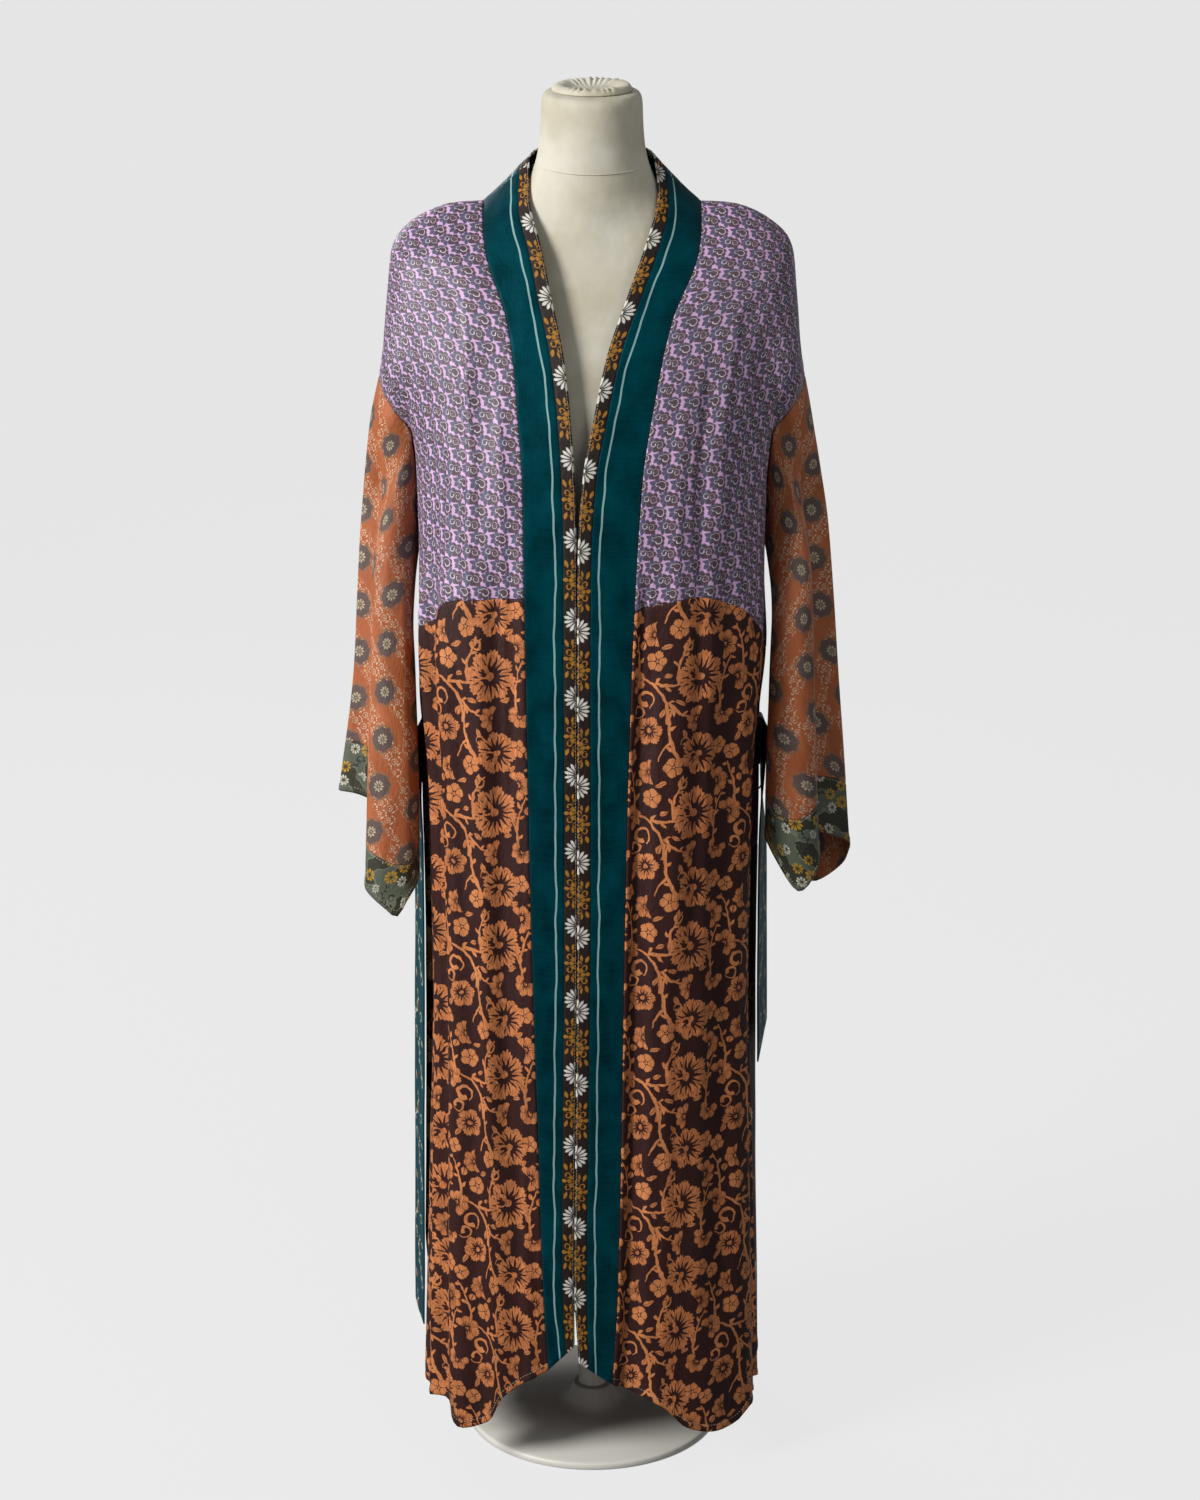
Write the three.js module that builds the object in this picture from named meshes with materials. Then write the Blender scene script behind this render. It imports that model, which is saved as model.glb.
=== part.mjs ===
// A long open-fronted kimono robe, pieced from printed silks, on a limbless dress form.
// Millimetres, +Z up. The front faces -Y, and the origin is the centre of the stand's base
// plate, at its underside. Left and right are as seen from the front, so left is at -X, the
// wearer's right.
import * as THREE from "three";

// Cloth and seams
const CLOTH = 1.2; // wall of every cloth piece
const SASH_CLOTH = 1.6; // the sash is two layers, pressed flat
const SEAM_GAP = 0.3; // between two pieces that are sewn together
const SLANT_GAP = 0.6; // the same, measured down a seam that runs aslant
const EDGING_WIDTH = 13.5; // printed edging along the free edge of the front band
const SASH_WIDTH = 58;
const SASH_HEIGHT = 761; // middle of the sash across the back
const SASH_REACH = 0.768; // how far round from the middle of the back to the side it lies flat
const SASH_CLEARANCE = 7; // from the back to the sash, so that it clears the folds
const LOOP_THREAD = 1.6;

// Robe
const SHOULDER_HALF = 109; // neck end of the shoulder seam, from the middle
const NECK_SEAM_DEPTH = 76; // the band's seam at the back of the neck, behind the middle
const NECK_SEAM_TOP = 1339;
const BACK_SEAM = 650; // height of the seam between the back's two prints
const SQUARE_CHEST = 2.6; // superellipse powers: rounder at the chest, squarer at the skirt
const SQUARE_SKIRT = 3.4;
const SKIRT_TOP = 850; // height up to which the plan is as square as the skirt
const CHEST_FOOT = 1100; // height from which it is as round as the chest
const UNDERARM = 1000;
const SIDE_PULL = { front: 0.6, back: 0.78 }; // across, where the cloth starts to turn to its side edge

// Dress form and stand
const FORM_UNDERSIDE = 742;
const NECK_TOP = 1447;
const NECK_TILT = 0.15; // slope of the neck's top, lower at the front
const NECK_FOOT = 1395; // the neck starts to tilt at this height
const NECK_CAP = { width: 41, depth: 37, height: 4 };
const POLE_RADIUS = 16;
const COLLAR = { radius: 34, height: 16 };
const BASE = { radius: 140, plate: 8, boss: 36, bossHeight: 34 };

// Grid sizes
const ARMHOLE_ROWS = 11; // rows of a front or back between the shoulder and the underarm
const FRONT = { columns: 14, side: 3, lower: 8 };
const BACK = { shoulder: 5, neck: 16, side: 6, lower: 8 };
const SLEEVE_ROWS = 10;
const CUFF_ROWS = 2;
const SASH_COLUMNS = 16;
const SASH_ROWS = 8;
const FORM_SIDES = 32;

// Plan of the robe at each height: depth ahead of and behind the middle, and the half
// width of the fronts and of the back
const BODY = [
  { z: 1342, ahead: 48, behind: 76, half: 113, halfBack: 113 },
  { z: 1324, ahead: 54, behind: 81, half: 168, halfBack: 168 },
  { z: 1311, ahead: 60, behind: 85, half: 188, halfBack: 188 },
  { z: 1287, ahead: 76, behind: 91, half: 202, halfBack: 202 },
  { z: 1245, ahead: 86, behind: 97, half: 205, halfBack: 205 },
  { z: 1193, ahead: 101, behind: 101, half: 200, halfBack: 200 },
  { z: 1136, ahead: 115, behind: 101, half: 190, halfBack: 192 },
  { z: 1078, ahead: 127, behind: 100, half: 183, halfBack: 184 },
  { z: 1000, ahead: 134, behind: 98, half: 182, halfBack: 182 },
  { z: 900, ahead: 138, behind: 103, half: 181, halfBack: 183 },
  { z: 830, ahead: 139, behind: 106, half: 176, halfBack: 184 },
  { z: 750, ahead: 140, behind: 109, half: 170, halfBack: 185 },
  { z: 540, ahead: 143, behind: 113, half: 168, halfBack: 184 },
  { z: 300, ahead: 147, behind: 120, half: 175, halfBack: 186 },
  { z: 40, ahead: 153, behind: 128, half: 184, halfBack: 191 },
];

// Shoulder seam from the neck (u 0) to the top of the armhole (u 1)
const RIDGE = [
  { u: 0, x: SHOULDER_HALF, z: NECK_SEAM_TOP },
  { u: 0.13, x: 140, z: 1337 },
  { u: 0.25, x: 165, z: 1329 },
  { u: 0.36, x: 184, z: 1317 },
  { u: 0.44, x: 197, z: 1303 },
  { u: 0.5, x: 202, z: 1289 },
  { u: 0.66, x: 206, z: 1250 },
  { u: 0.88, x: 212, z: 1193 },
  { u: 1, x: 217, z: 1163 },
];

// How far below the shoulder seam the cloth reaches the full depth of the plan
const SHOULDER_FALL = [
  { u: 0, fall: 110 },
  { u: 0.5, fall: 72 },
  { u: 1, fall: 50 },
];

// Armhole from the shoulder (e 0) to the underarm (e 1), by half: x is from the middle
const ARMHOLE = {
  front: [
    { e: 0, x: 217, y: 0, z: 1163 },
    { e: 0.13, x: 212, y: -22, z: 1150 },
    { e: 0.28, x: 197, y: -36, z: 1130 },
    { e: 0.42, x: 182, y: -31, z: 1108 },
    { e: 0.73, x: 177, y: -12, z: 1050 },
    { e: 1, x: 175, y: 5, z: UNDERARM },
  ],
  back: [
    { e: 0, x: 217, y: 0, z: 1163 },
    { e: 0.14, x: 212, y: 24, z: 1150 },
    { e: 0.29, x: 199, y: 39, z: 1130 },
    { e: 0.43, x: 183, y: 40, z: 1108 },
    { e: 0.73, x: 177, y: 22, z: 1050 },
    { e: 1, x: 175, y: 5, z: UNDERARM },
  ],
};

// Side seam below the underarm
const SIDE_SEAM = [
  { z: UNDERARM, x: 175, y: 5 },
  { z: 900, x: 174, y: 7 },
  { z: 750, x: 165, y: 9 },
  { z: 540, x: 163, y: 9 },
  { z: 300, x: 171, y: 9 },
  { z: 40, x: 181, y: 9 },
];

// Front bands: the seam with the front (outer) and the free edge at each height of the
// seam. The free edge stands higher by lift, and y is its place ahead of the middle.
const BAND = {
  left: [
    { z: NECK_SEAM_TOP, outer: SHOULDER_HALF, free: 63, lift: 38, y: -1 },
    { z: 1317, outer: 103, free: 63, lift: 33, y: -28 },
    { z: 1285, outer: 96, free: 50, lift: 15, y: -64 },
    { z: 1245, outer: 87, free: 40, lift: 9, y: -84 },
    { z: 1193, outer: 78, free: 28, lift: 5, y: -103 },
    { z: 1136, outer: 73, free: 21, lift: 3, y: -118 },
    { z: 1078, outer: 69, free: 17, lift: 1, y: -129 },
    { z: 1000, outer: 68, free: 15, lift: 0, y: -135 },
    { z: 837, outer: 66, free: 15, lift: 0, y: -138 },
    { z: 648, outer: 63, free: 15, lift: 0, y: -141 },
    { z: 430, outer: 58, free: 17, lift: 0, y: -144 },
    { z: 216, outer: 52, free: 19, lift: 10, y: -148 },
    { z: 110, outer: 46, free: 19, lift: 30, y: -150 },
  ],
  right: [
    { z: NECK_SEAM_TOP, outer: SHOULDER_HALF, free: 63, lift: 38, y: -1 },
    { z: 1317, outer: 107, free: 66, lift: 33, y: -26 },
    { z: 1285, outer: 97, free: 52, lift: 14, y: -64 },
    { z: 1245, outer: 84, free: 35, lift: 9, y: -86 },
    { z: 1193, outer: 70, free: 15, lift: 5, y: -106 },
    { z: 1136, outer: 59, free: 2, lift: 3, y: -121 },
    { z: 1078, outer: 50, free: -9, lift: 1, y: -132 },
    { z: 1000, outer: 45, free: -14, lift: 0, y: -139 },
    { z: 858, outer: 39, free: -15, lift: 0, y: -142 },
    { z: 648, outer: 34, free: -15, lift: 0, y: -145 },
    { z: 430, outer: 31, free: -17, lift: 0, y: -149 },
    { z: 216, outer: 27, free: -19, lift: 10, y: -153 },
    { z: 100, outer: 21, free: -14, lift: 28, y: -155 },
  ],
};

// Free edge of the band behind the neck: half width, depth and the rise at the middle
const NECK_FREE = { half: 63, depth: 62, z: NECK_SEAM_TOP + 38, rise: 13 };

// Seam between the upper and lower fronts, and the hem, from the band (u 0) to the side
const WAIST = {
  left: [
    { u: 0, z: 960 },
    { u: 0.36, z: 955 },
    { u: 0.55, z: 928 },
    { u: 0.75, z: 895 },
    { u: 1, z: 872 },
  ],
  right: [
    { u: 0, z: 948 },
    { u: 0.12, z: 954 },
    { u: 0.3, z: 960 },
    { u: 0.5, z: 947 },
    { u: 0.65, z: 919 },
    { u: 0.85, z: 885 },
    { u: 1, z: 872 },
  ],
};
const HEM = {
  left: [
    { u: 0, z: 125 },
    { u: 0.14, z: 107 },
    { u: 0.21, z: 93 },
    { u: 0.28, z: 62 },
    { u: 0.39, z: 51 },
    { u: 0.49, z: 63 },
    { u: 0.56, z: 70 },
    { u: 0.8, z: 66 },
    { u: 1, z: 50 },
  ],
  right: [
    { u: 0, z: 108 },
    { u: 0.22, z: 83 },
    { u: 0.33, z: 54 },
    { u: 0.45, z: 45 },
    { u: 0.53, z: 48 },
    { u: 0.6, z: 62 },
    { u: 0.8, z: 62 },
    { u: 1, z: 52 },
  ],
  back: [
    { s: -1, z: 50 },
    { s: -0.6, z: 60 },
    { s: -0.25, z: 52 },
    { s: 0.2, z: 61 },
    { s: 0.65, z: 54 },
    { s: 1, z: 50 },
  ],
};

// Folds of the fronts and the back: place across, depth (out is positive), half width in
// the same measure, and the heights between which each fold runs
const FOLDS = {
  left: [
    { at: 0.1, depth: -7, width: 0.09, top: 1080, bottom: 380 },
    { at: 0.23, depth: 5, width: 0.08, top: 1000, bottom: 60 },
    { at: 0.4, depth: 8, width: 0.08, top: 1010, bottom: 45 },
    { at: 0.52, depth: -8, width: 0.09, top: 1060, bottom: 45 },
    { at: 0.84, depth: -9, width: 0.09, top: 900, bottom: 45 },
  ],
  right: [
    { at: 0.09, depth: -6, width: 0.08, top: 1010, bottom: 60 },
    { at: 0.22, depth: 5, width: 0.09, top: 980, bottom: 45 },
    { at: 0.45, depth: -6, width: 0.09, top: 1080, bottom: 260 },
    { at: 0.6, depth: 6, width: 0.09, top: 930, bottom: 45 },
    { at: 0.78, depth: -9, width: 0.09, top: 960, bottom: 45 },
  ],
  back: [
    { at: -0.72, depth: -9, width: 0.08, top: 1010, bottom: 45 },
    { at: -0.5, depth: 6, width: 0.09, top: 820, bottom: 45 },
    { at: -0.28, depth: -8, width: 0.08, top: 900, bottom: 60 },
    { at: -0.02, depth: 5, width: 0.1, top: 760, bottom: 45 },
    { at: 0.2, depth: -7, width: 0.08, top: 1000, bottom: 120 },
    { at: 0.44, depth: 7, width: 0.09, top: 840, bottom: 45 },
    { at: 0.66, depth: -9, width: 0.08, top: 960, bottom: 45 },
  ],
};
const FOLD_FADE = 170; // a fold grows to its full depth over this height

// Sleeves. The outline goes round from the top fold (a 0) by the front to the underarm
// (a 0.5). out runs from the body (-1) by the ridge of the front lobe (0) to the outside
// (1), and ahead from back to front.
const SLEEVE_OUTLINE = [
  { a: 0, out: 1, ahead: -0.42 },
  { a: 0.03, out: 1, ahead: -0.25 },
  { a: 0.067, out: 0.5, ahead: -0.17 },
  { a: 0.115, out: -0.1, ahead: -0.03 },
  { a: 0.217, out: 0, ahead: 0.5 },
  { a: 0.277, out: -0.04, ahead: 0.83 },
  { a: 0.338, out: -0.4, ahead: 1 },
  { a: 0.395, out: -0.79, ahead: 0.95 },
  { a: 0.456, out: -0.98, ahead: 0.67 },
  { a: 0.562, out: -0.93, ahead: 0.08 },
  { a: 0.714, out: -0.82, ahead: -0.75 },
  { a: 0.783, out: -0.5, ahead: -1 },
  { a: 0.874, out: 0, ahead: -0.95 },
  { a: 0.944, out: 0.85, ahead: -0.72 },
  { a: 1, out: 1, ahead: -0.42 },
];
const SLEEVE = [
  { z: 1163, inner: 188, lobe: 202, left: 217, right: 217, ahead: 30, behind: 30 },
  { z: 1118, inner: 186, lobe: 212, left: 227, right: 226, ahead: 48, behind: 43 },
  { z: 1014, inner: 185, lobe: 222, left: 239, right: 243, ahead: 62, behind: 47 },
  { z: 844, inner: 181, lobe: 230, left: 251, right: 258, ahead: 75, behind: 49 },
  { z: 745, inner: 179, lobe: 234, left: 265, right: 267, ahead: 78, behind: 50 },
  { z: 600, inner: 181, lobe: 240, left: 284, right: 279, ahead: 80, behind: 52 },
];
const SLEEVE_CREASE = { top: 1150, bottom: 1030 }; // where the lengthwise crease deepens
const SLEEVE_HOLD = 0.36; // share of the length over which the armhole's shape lasts
const ARMHOLE_EASE = 1.5; // the sleeve starts this far outside the lower half of the armhole

// Seam with the cuff, and the cuff's edge, round the sleeve
const SLEEVE_END = {
  left: [
    { a: 0, seam: 778, edge: 724 },
    { a: 0.067, seam: 776, edge: 721 },
    { a: 0.115, seam: 764, edge: 712 },
    { a: 0.217, seam: 696, edge: 641 },
    { a: 0.277, seam: 682, edge: 636 },
    { a: 0.338, seam: 670, edge: 618 },
    { a: 0.365, seam: 665, edge: 609 },
    { a: 0.395, seam: 664, edge: 626 },
    { a: 0.456, seam: 682, edge: 646 },
    { a: 0.562, seam: 720, edge: 668 },
    { a: 0.714, seam: 746, edge: 693 },
    { a: 0.874, seam: 770, edge: 716 },
    { a: 1, seam: 778, edge: 724 },
  ],
  right: [
    { a: 0, seam: 724, edge: 656 },
    { a: 0.067, seam: 738, edge: 674 },
    { a: 0.115, seam: 742, edge: 683 },
    { a: 0.217, seam: 736, edge: 676 },
    { a: 0.277, seam: 728, edge: 662 },
    { a: 0.338, seam: 714, edge: 637 },
    { a: 0.395, seam: 718, edge: 668 },
    { a: 0.456, seam: 738, edge: 690 },
    { a: 0.562, seam: 742, edge: 690 },
    { a: 0.714, seam: 716, edge: 662 },
    { a: 0.783, seam: 690, edge: 630 },
    { a: 0.874, seam: 668, edge: 606 },
    { a: 0.944, seam: 694, edge: 634 },
    { a: 1, seam: 724, edge: 656 },
  ],
};

// Hanging ends of the sash: seen from above, a strip from its front to its back edge
const SASH_PLAN = [
  { z: 800, frontX: 185, frontY: 10, backX: 181, backY: 67 },
  { z: 730, frontX: 184, frontY: 10, backX: 184, backY: 67 },
  { z: 650, frontX: 182, frontY: 13, backX: 193, backY: 69 },
  { z: 540, frontX: 183, frontY: 14, backX: 195, backY: 70 },
  { z: 90, frontX: 190, frontY: 14, backX: 202, backY: 70 },
];
const SASH_END = {
  left: { bottom: 96, slant: 6, tuck: 0 },
  right: { bottom: 410, slant: 30, tuck: 4 },
};

// Belt loop, from the side seam out round the sash and back
const LOOP_PATH = [
  { out: 2.6, z: 800 },
  { out: 10, z: 803 },
  { out: 16, z: 796 },
  { out: 18, z: 761 },
  { out: 16, z: 727 },
  { out: 10, z: 720 },
  { out: 2.6, z: 723 },
];
const LOOP_AHEAD = 5; // the loop's plane, in front of the side seam

// Dress form: half width, depth ahead and behind, and roundness of each section
const FORM = [
  { z: FORM_UNDERSIDE, half: 139, ahead: 86, behind: 84, square: 2.2 },
  { z: 752, half: 148, ahead: 92, behind: 90, square: 2.2 },
  { z: 785, half: 153, ahead: 97, behind: 93, square: 2.2 },
  { z: 830, half: 152, ahead: 98, behind: 91, square: 2.2 },
  { z: 890, half: 140, ahead: 91, behind: 82, square: 2.2 },
  { z: 950, half: 125, ahead: 85, behind: 74, square: 2.2 },
  { z: 1010, half: 134, ahead: 97, behind: 76, square: 2.2 },
  { z: 1080, half: 152, ahead: 114, behind: 84, square: 2.2 },
  { z: 1150, half: 158, ahead: 102, behind: 88, square: 2.2 },
  { z: 1210, half: 166, ahead: 84, behind: 88, square: 2.2 },
  { z: 1250, half: 176, ahead: 70, behind: 82, square: 2 },
  { z: 1285, half: 179, ahead: 59, behind: 72, square: 1.8 },
  { z: 1303, half: 160, ahead: 55, behind: 66, square: 1.6 },
  { z: 1318, half: 132, ahead: 52, behind: 60, square: 1.4 },
  { z: 1335, half: 94, ahead: 52, behind: 56, square: 1.55 },
  { z: 1350, half: 71, ahead: 51, behind: 54, square: 1.8 },
  { z: 1368, half: 59, ahead: 51, behind: 53, square: 2 },
  { z: 1395, half: 52, ahead: 50, behind: 52, square: 2 },
  { z: 1430, half: 51, ahead: 50, behind: 51, square: 2 },
  { z: NECK_TOP - 8, half: 50.5, ahead: 49.5, behind: 50.5, square: 2 },
  { z: NECK_TOP - 2.5, half: 48.5, ahead: 47, behind: 48, square: 2 },
  { z: NECK_TOP, half: 44, ahead: 42, behind: 43, square: 2 },
];

// Colours
const COLOUR = {
  lilac: 0xb3a5cf,
  brown: 0x6b3a24,
  crimson: 0x8f3b5c,
  cream: 0x5b3427,
  rust: 0xb4693f,
  cuff: 0x6c705a,
  teal: 0x00565c,
  edging: 0x33231c,
  thread: 0x3a3f45,
  jersey: 0xd8d3c4,
  steel: 0xe6e2d8,
};

const clamp01 = (t) => Math.min(1, Math.max(0, t));
const mix = (a, b, t) => a + (b - a) * t;
const smooth = (t) => clamp01(t) ** 2 * (3 - 2 * clamp01(t));
const steps = (count, power = 1) => Array.from({ length: count + 1 }, (_, i) => (i / count) ** power);

// Smooth curve through a table's rows: one column's value at a place in another column
function along(rows, key, at, column) {
  const way = Math.sign(rows.at(-1)[key] - rows[0][key]);
  const place = (i) => way * rows[i][key];
  const slope = (i) => (rows[i + 1][column] - rows[i][column]) / (place(i + 1) - place(i));
  const bend = (i) => {
    if (i === 0) return slope(0);
    if (i === rows.length - 1) return slope(i - 1);
    const before = slope(i - 1);
    const after = slope(i);
    return before * after <= 0 ? 0 : (2 * before * after) / (before + after);
  };
  const here = Math.min(Math.max(way * at, place(0)), place(rows.length - 1));
  let i = 0;
  while (i < rows.length - 2 && here > place(i + 1)) i++;
  const span = place(i + 1) - place(i);
  const t = (here - place(i)) / span;
  return (
    rows[i][column] * (1 + 2 * t) * (1 - t) ** 2 +
    bend(i) * span * t * (1 - t) ** 2 +
    rows[i + 1][column] * t * t * (3 - 2 * t) -
    bend(i + 1) * span * t * t * (1 - t)
  );
}

// Point of a superellipse at an angle from the middle line, as { across, depth }
function superellipse(half, depth, power, angle) {
  const sin = Math.sin(angle);
  const cos = Math.cos(angle);
  const radius = (Math.abs(sin / half) ** power + Math.abs(cos / depth) ** power) ** (-1 / power);
  return { across: radius * sin, depth: radius * cos };
}

const bodySquare = (z) => mix(SQUARE_SKIRT, SQUARE_CHEST, smooth((z - SKIRT_TOP) / (CHEST_FOOT - SKIRT_TOP)));
const roll = (q) => Math.sqrt(1 - (1 - clamp01(q)) ** 2);

// Outward push of the folds at a place across and a height
function foldDepth(folds, at, z) {
  let depth = 0;
  for (const fold of folds) {
    const reach = Math.abs(at - fold.at) / fold.width;
    if (reach >= 1) continue;
    const fade = smooth((fold.top - z) / FOLD_FADE) * smooth(1 - (fold.bottom - z) / FOLD_FADE);
    depth += fold.depth * fade * (0.5 + 0.5 * Math.cos(Math.PI * reach));
  }
  return depth;
}

// The side edge of a front or back: the armhole down to the underarm, then the side seam
function sideEdge(half, e, z) {
  if (e < 1) {
    const rows = ARMHOLE[half];
    return ["x", "y", "z"].map((column) => along(rows, "e", e, column));
  }
  return [along(SIDE_SEAM, "z", z, "x"), along(SIDE_SEAM, "z", z, "y"), z];
}

// A front: u runs from the band seam to the side, and row from the shoulder seam (0) to
// the waist seam (1) and the hem (2)
function frontPoint(side, u, row) {
  const sign = side === "left" ? -1 : 1;
  const waist = along(WAIST[side], "u", u, "z");
  const waistSide = along(WAIST[side], "u", 1, "z");
  const hemSide = along(HEM[side], "u", 1, "z");
  const top = along(RIDGE, "u", u, "z");
  const z = row < 1 ? mix(top, waist, row) : mix(waist, along(HEM[side], "u", u, "z"), row - 1);
  const plain = (across, height) => {
    const half = along(BODY, "z", height, "half");
    const ahead = along(BODY, "z", height, "ahead");
    const square = bodySquare(height);
    const seam = Math.min(along(BAND[side], "z", height, "outer"), half * 0.995);
    const seamDepth = ahead * (1 - (seam / half) ** square) ** (1 / square);
    const start = Math.atan2(seam, seamDepth);
    const place = superellipse(half, ahead, square, mix(start, Math.PI / 2, across));
    const fall = (along(RIDGE, "u", across, "z") - height) / along(SHOULDER_FALL, "u", across, "fall");
    const push = foldDepth(FOLDS[side], across, height);
    const spread = smooth(fall);
    const edge = along(RIDGE, "u", across, "x");
    const turn = Math.atan2(place.across, place.depth);
    return [
      mix(edge, place.across, spread) + push * Math.sin(turn) * roll(fall),
      -(place.depth + push * Math.cos(turn)) * roll(fall),
      height,
    ];
  };
  const armholeRow = ARMHOLE_ROW.front;
  const sideZ = row < 1
    ? mix(UNDERARM, waistSide, clamp01((row - armholeRow) / (1 - armholeRow)))
    : mix(waistSide, hemSide, row - 1);
  const edge = sideEdge("front", row / armholeRow, sideZ);
  const free = plain(1, row < 1 ? mix(RIDGE.at(-1).z, waistSide, row) : sideZ);
  const pull = smooth((u - SIDE_PULL.front) / (1 - SIDE_PULL.front));
  const here = plain(u, z);
  return new THREE.Vector3(...here.map((v, i) => (v + pull * (edge[i] - free[i])) * (i === 0 ? sign : 1)));
}

// The back: s runs from the left side (-1) to the right (1), and row from the top (0) to
// the seam between its prints (1) and the hem (2)
const NECK_SHARE = 0.72; // part of s that lies under the neck band
function backPoint(s, row) {
  const out = Math.abs(s);
  const sign = s < 0 ? -1 : 1;
  const ridge = clamp01((out - NECK_SHARE) / (1 - NECK_SHARE));
  const neck = clamp01(out / NECK_SHARE) * (Math.PI / 2);
  const underNeck = out < NECK_SHARE;
  const topX = underNeck ? SHOULDER_HALF * Math.sin(neck) : along(RIDGE, "u", ridge, "x");
  const topY = underNeck ? NECK_SEAM_DEPTH * Math.cos(neck) : 0;
  const top = underNeck ? NECK_SEAM_TOP : along(RIDGE, "u", ridge, "z");
  const hem = along(HEM.back, "s", s, "z");
  const z = row < 1 ? mix(top, BACK_SEAM, row) : mix(BACK_SEAM, hem, row - 1);
  const plain = (at, height, startX, startY, start) => {
    const place = superellipse(
      along(BODY, "z", height, "halfBack"),
      along(BODY, "z", height, "behind"),
      bodySquare(height),
      (Math.abs(at) * Math.PI) / 2,
    );
    const u = clamp01((Math.abs(at) - NECK_SHARE) / (1 - NECK_SHARE));
    const fall = (start - height) / along(SHOULDER_FALL, "u", u, "fall");
    const push = foldDepth(FOLDS.back, at, height);
    const turn = Math.atan2(place.across, place.depth);
    return [
      mix(startX, place.across, smooth(fall)) + push * Math.sin(turn) * roll(fall),
      mix(startY, place.depth + push * Math.cos(turn), roll(fall)),
      height,
    ];
  };
  const armholeRow = ARMHOLE_ROW.back;
  const sideZ = row < 1
    ? mix(UNDERARM, BACK_SEAM, clamp01((row - armholeRow) / (1 - armholeRow)))
    : mix(BACK_SEAM, along(HEM.back, "s", sign, "z"), row - 1);
  const edge = sideEdge("back", row / armholeRow, sideZ);
  const shoulder = RIDGE.at(-1);
  const free = plain(sign, row < 1 ? mix(shoulder.z, BACK_SEAM, row) : sideZ, shoulder.x, 0, shoulder.z);
  const pull = smooth((out - SIDE_PULL.back) / (1 - SIDE_PULL.back));
  const here = plain(s, z, topX, topY, top);
  return new THREE.Vector3(...here.map((v, i) => (v + pull * (edge[i] - free[i])) * (i === 0 ? sign : 1)));
}

// A front band: row as on the front, w from the seam with the front (0) to the free edge
function bandPoint(side, row, w) {
  const sign = side === "left" ? -1 : 1;
  const seam = frontPoint(side, 0, row);
  const value = (column) => along(BAND[side], "z", seam.z, column);
  const free = new THREE.Vector3(sign * value("free"), value("y"), seam.z + value("lift"));
  return seam.lerp(free, w);
}

// The band behind the neck: k runs from the left shoulder (-1) to the right (1)
function neckBandPoint(k, w) {
  const turn = (k * Math.PI) / 2;
  const seam = new THREE.Vector3(SHOULDER_HALF * Math.sin(turn), NECK_SEAM_DEPTH * Math.cos(turn), NECK_SEAM_TOP);
  const free = new THREE.Vector3(
    NECK_FREE.half * Math.sin(turn),
    NECK_FREE.depth * Math.cos(turn) - 1,
    NECK_FREE.z + NECK_FREE.rise * (1 - (1 - Math.cos(turn)) ** 3),
  );
  return seam.lerp(free, w);
}

// Where the edging starts across a band, from the band's width there
const edgingStart = (from, to) => 1 - EDGING_WIDTH / from.distanceTo(to);

// A sleeve: a goes round from the top fold by the front, and b from the armhole (0) to
// the cuff seam (1) and the cuff's edge (2)
function sleevePoint(side, a, b) {
  const sign = side === "left" ? -1 : 1;
  const e = a <= 0.5 ? 2 * a : 2 * (1 - a);
  const half = a <= 0.5 ? "front" : "back";
  const start = ["x", "y", "z"].map((column) => along(ARMHOLE[half], "e", e, column));
  start[0] += ARMHOLE_EASE * smooth((e - 0.3) / 0.2);
  const seam = along(SLEEVE_END[side], "a", a, "seam");
  const edge = along(SLEEVE_END[side], "a", a, "edge");
  const tube = (z) => {
    const inner = along(SLEEVE, "z", z, "inner");
    const outer = along(SLEEVE, "z", z, side);
    const lobe = along(SLEEVE, "z", z, "lobe");
    const ahead = along(SLEEVE, "z", z, "ahead");
    const behind = along(SLEEVE, "z", z, "behind");
    const crease = smooth((SLEEVE_CREASE.top - z) / (SLEEVE_CREASE.top - SLEEVE_CREASE.bottom));
    const out = mix(Math.cos(2 * Math.PI * a), along(SLEEVE_OUTLINE, "a", a, "out"), crease);
    const front = mix(Math.sin(2 * Math.PI * a), along(SLEEVE_OUTLINE, "a", a, "ahead"), crease);
    return [
      lobe + out * (out < 0 ? lobe - inner : outer - lobe),
      (behind - ahead) / 2 - (front * (ahead + behind)) / 2,
    ];
  };
  const z = b < 1 ? mix(start[2], seam, b) : mix(seam, edge, b - 1);
  const here = tube(z);
  const first = tube(start[2]);
  const hold = (1 - clamp01(b / SLEEVE_HOLD)) ** 2;
  return new THREE.Vector3(
    sign * (here[0] + hold * (start[0] - first[0])),
    here[1] + hold * (start[1] - first[1]),
    z,
  );
}

// Rows of the fronts and the back between the shoulder and the underarm are shared with
// the sleeves, so that the pieces meet all round the armhole
const ARMHOLE_STEPS = steps(ARMHOLE_ROWS, 1.15);
const ARMHOLE_ROW = { front: 0.68, back: 0.4 };
const rowsTo = (armholeRow, side) => [
  ...ARMHOLE_STEPS.map((e) => e * armholeRow),
  ...steps(side).slice(1).map((t) => mix(armholeRow, 1, t)),
];
const FRONT_ROWS = rowsTo(ARMHOLE_ROW.front, FRONT.side);
const FRONT_LOWER_ROWS = steps(FRONT.lower).map((t) => 1 + t);
const BACK_ROWS = rowsTo(ARMHOLE_ROW.back, BACK.side);
const BACK_LOWER_ROWS = steps(BACK.lower).map((t) => 1 + t);
const NECK_COLUMNS = steps(BACK.neck).map((t) => mix(-1, 1, t));
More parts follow.
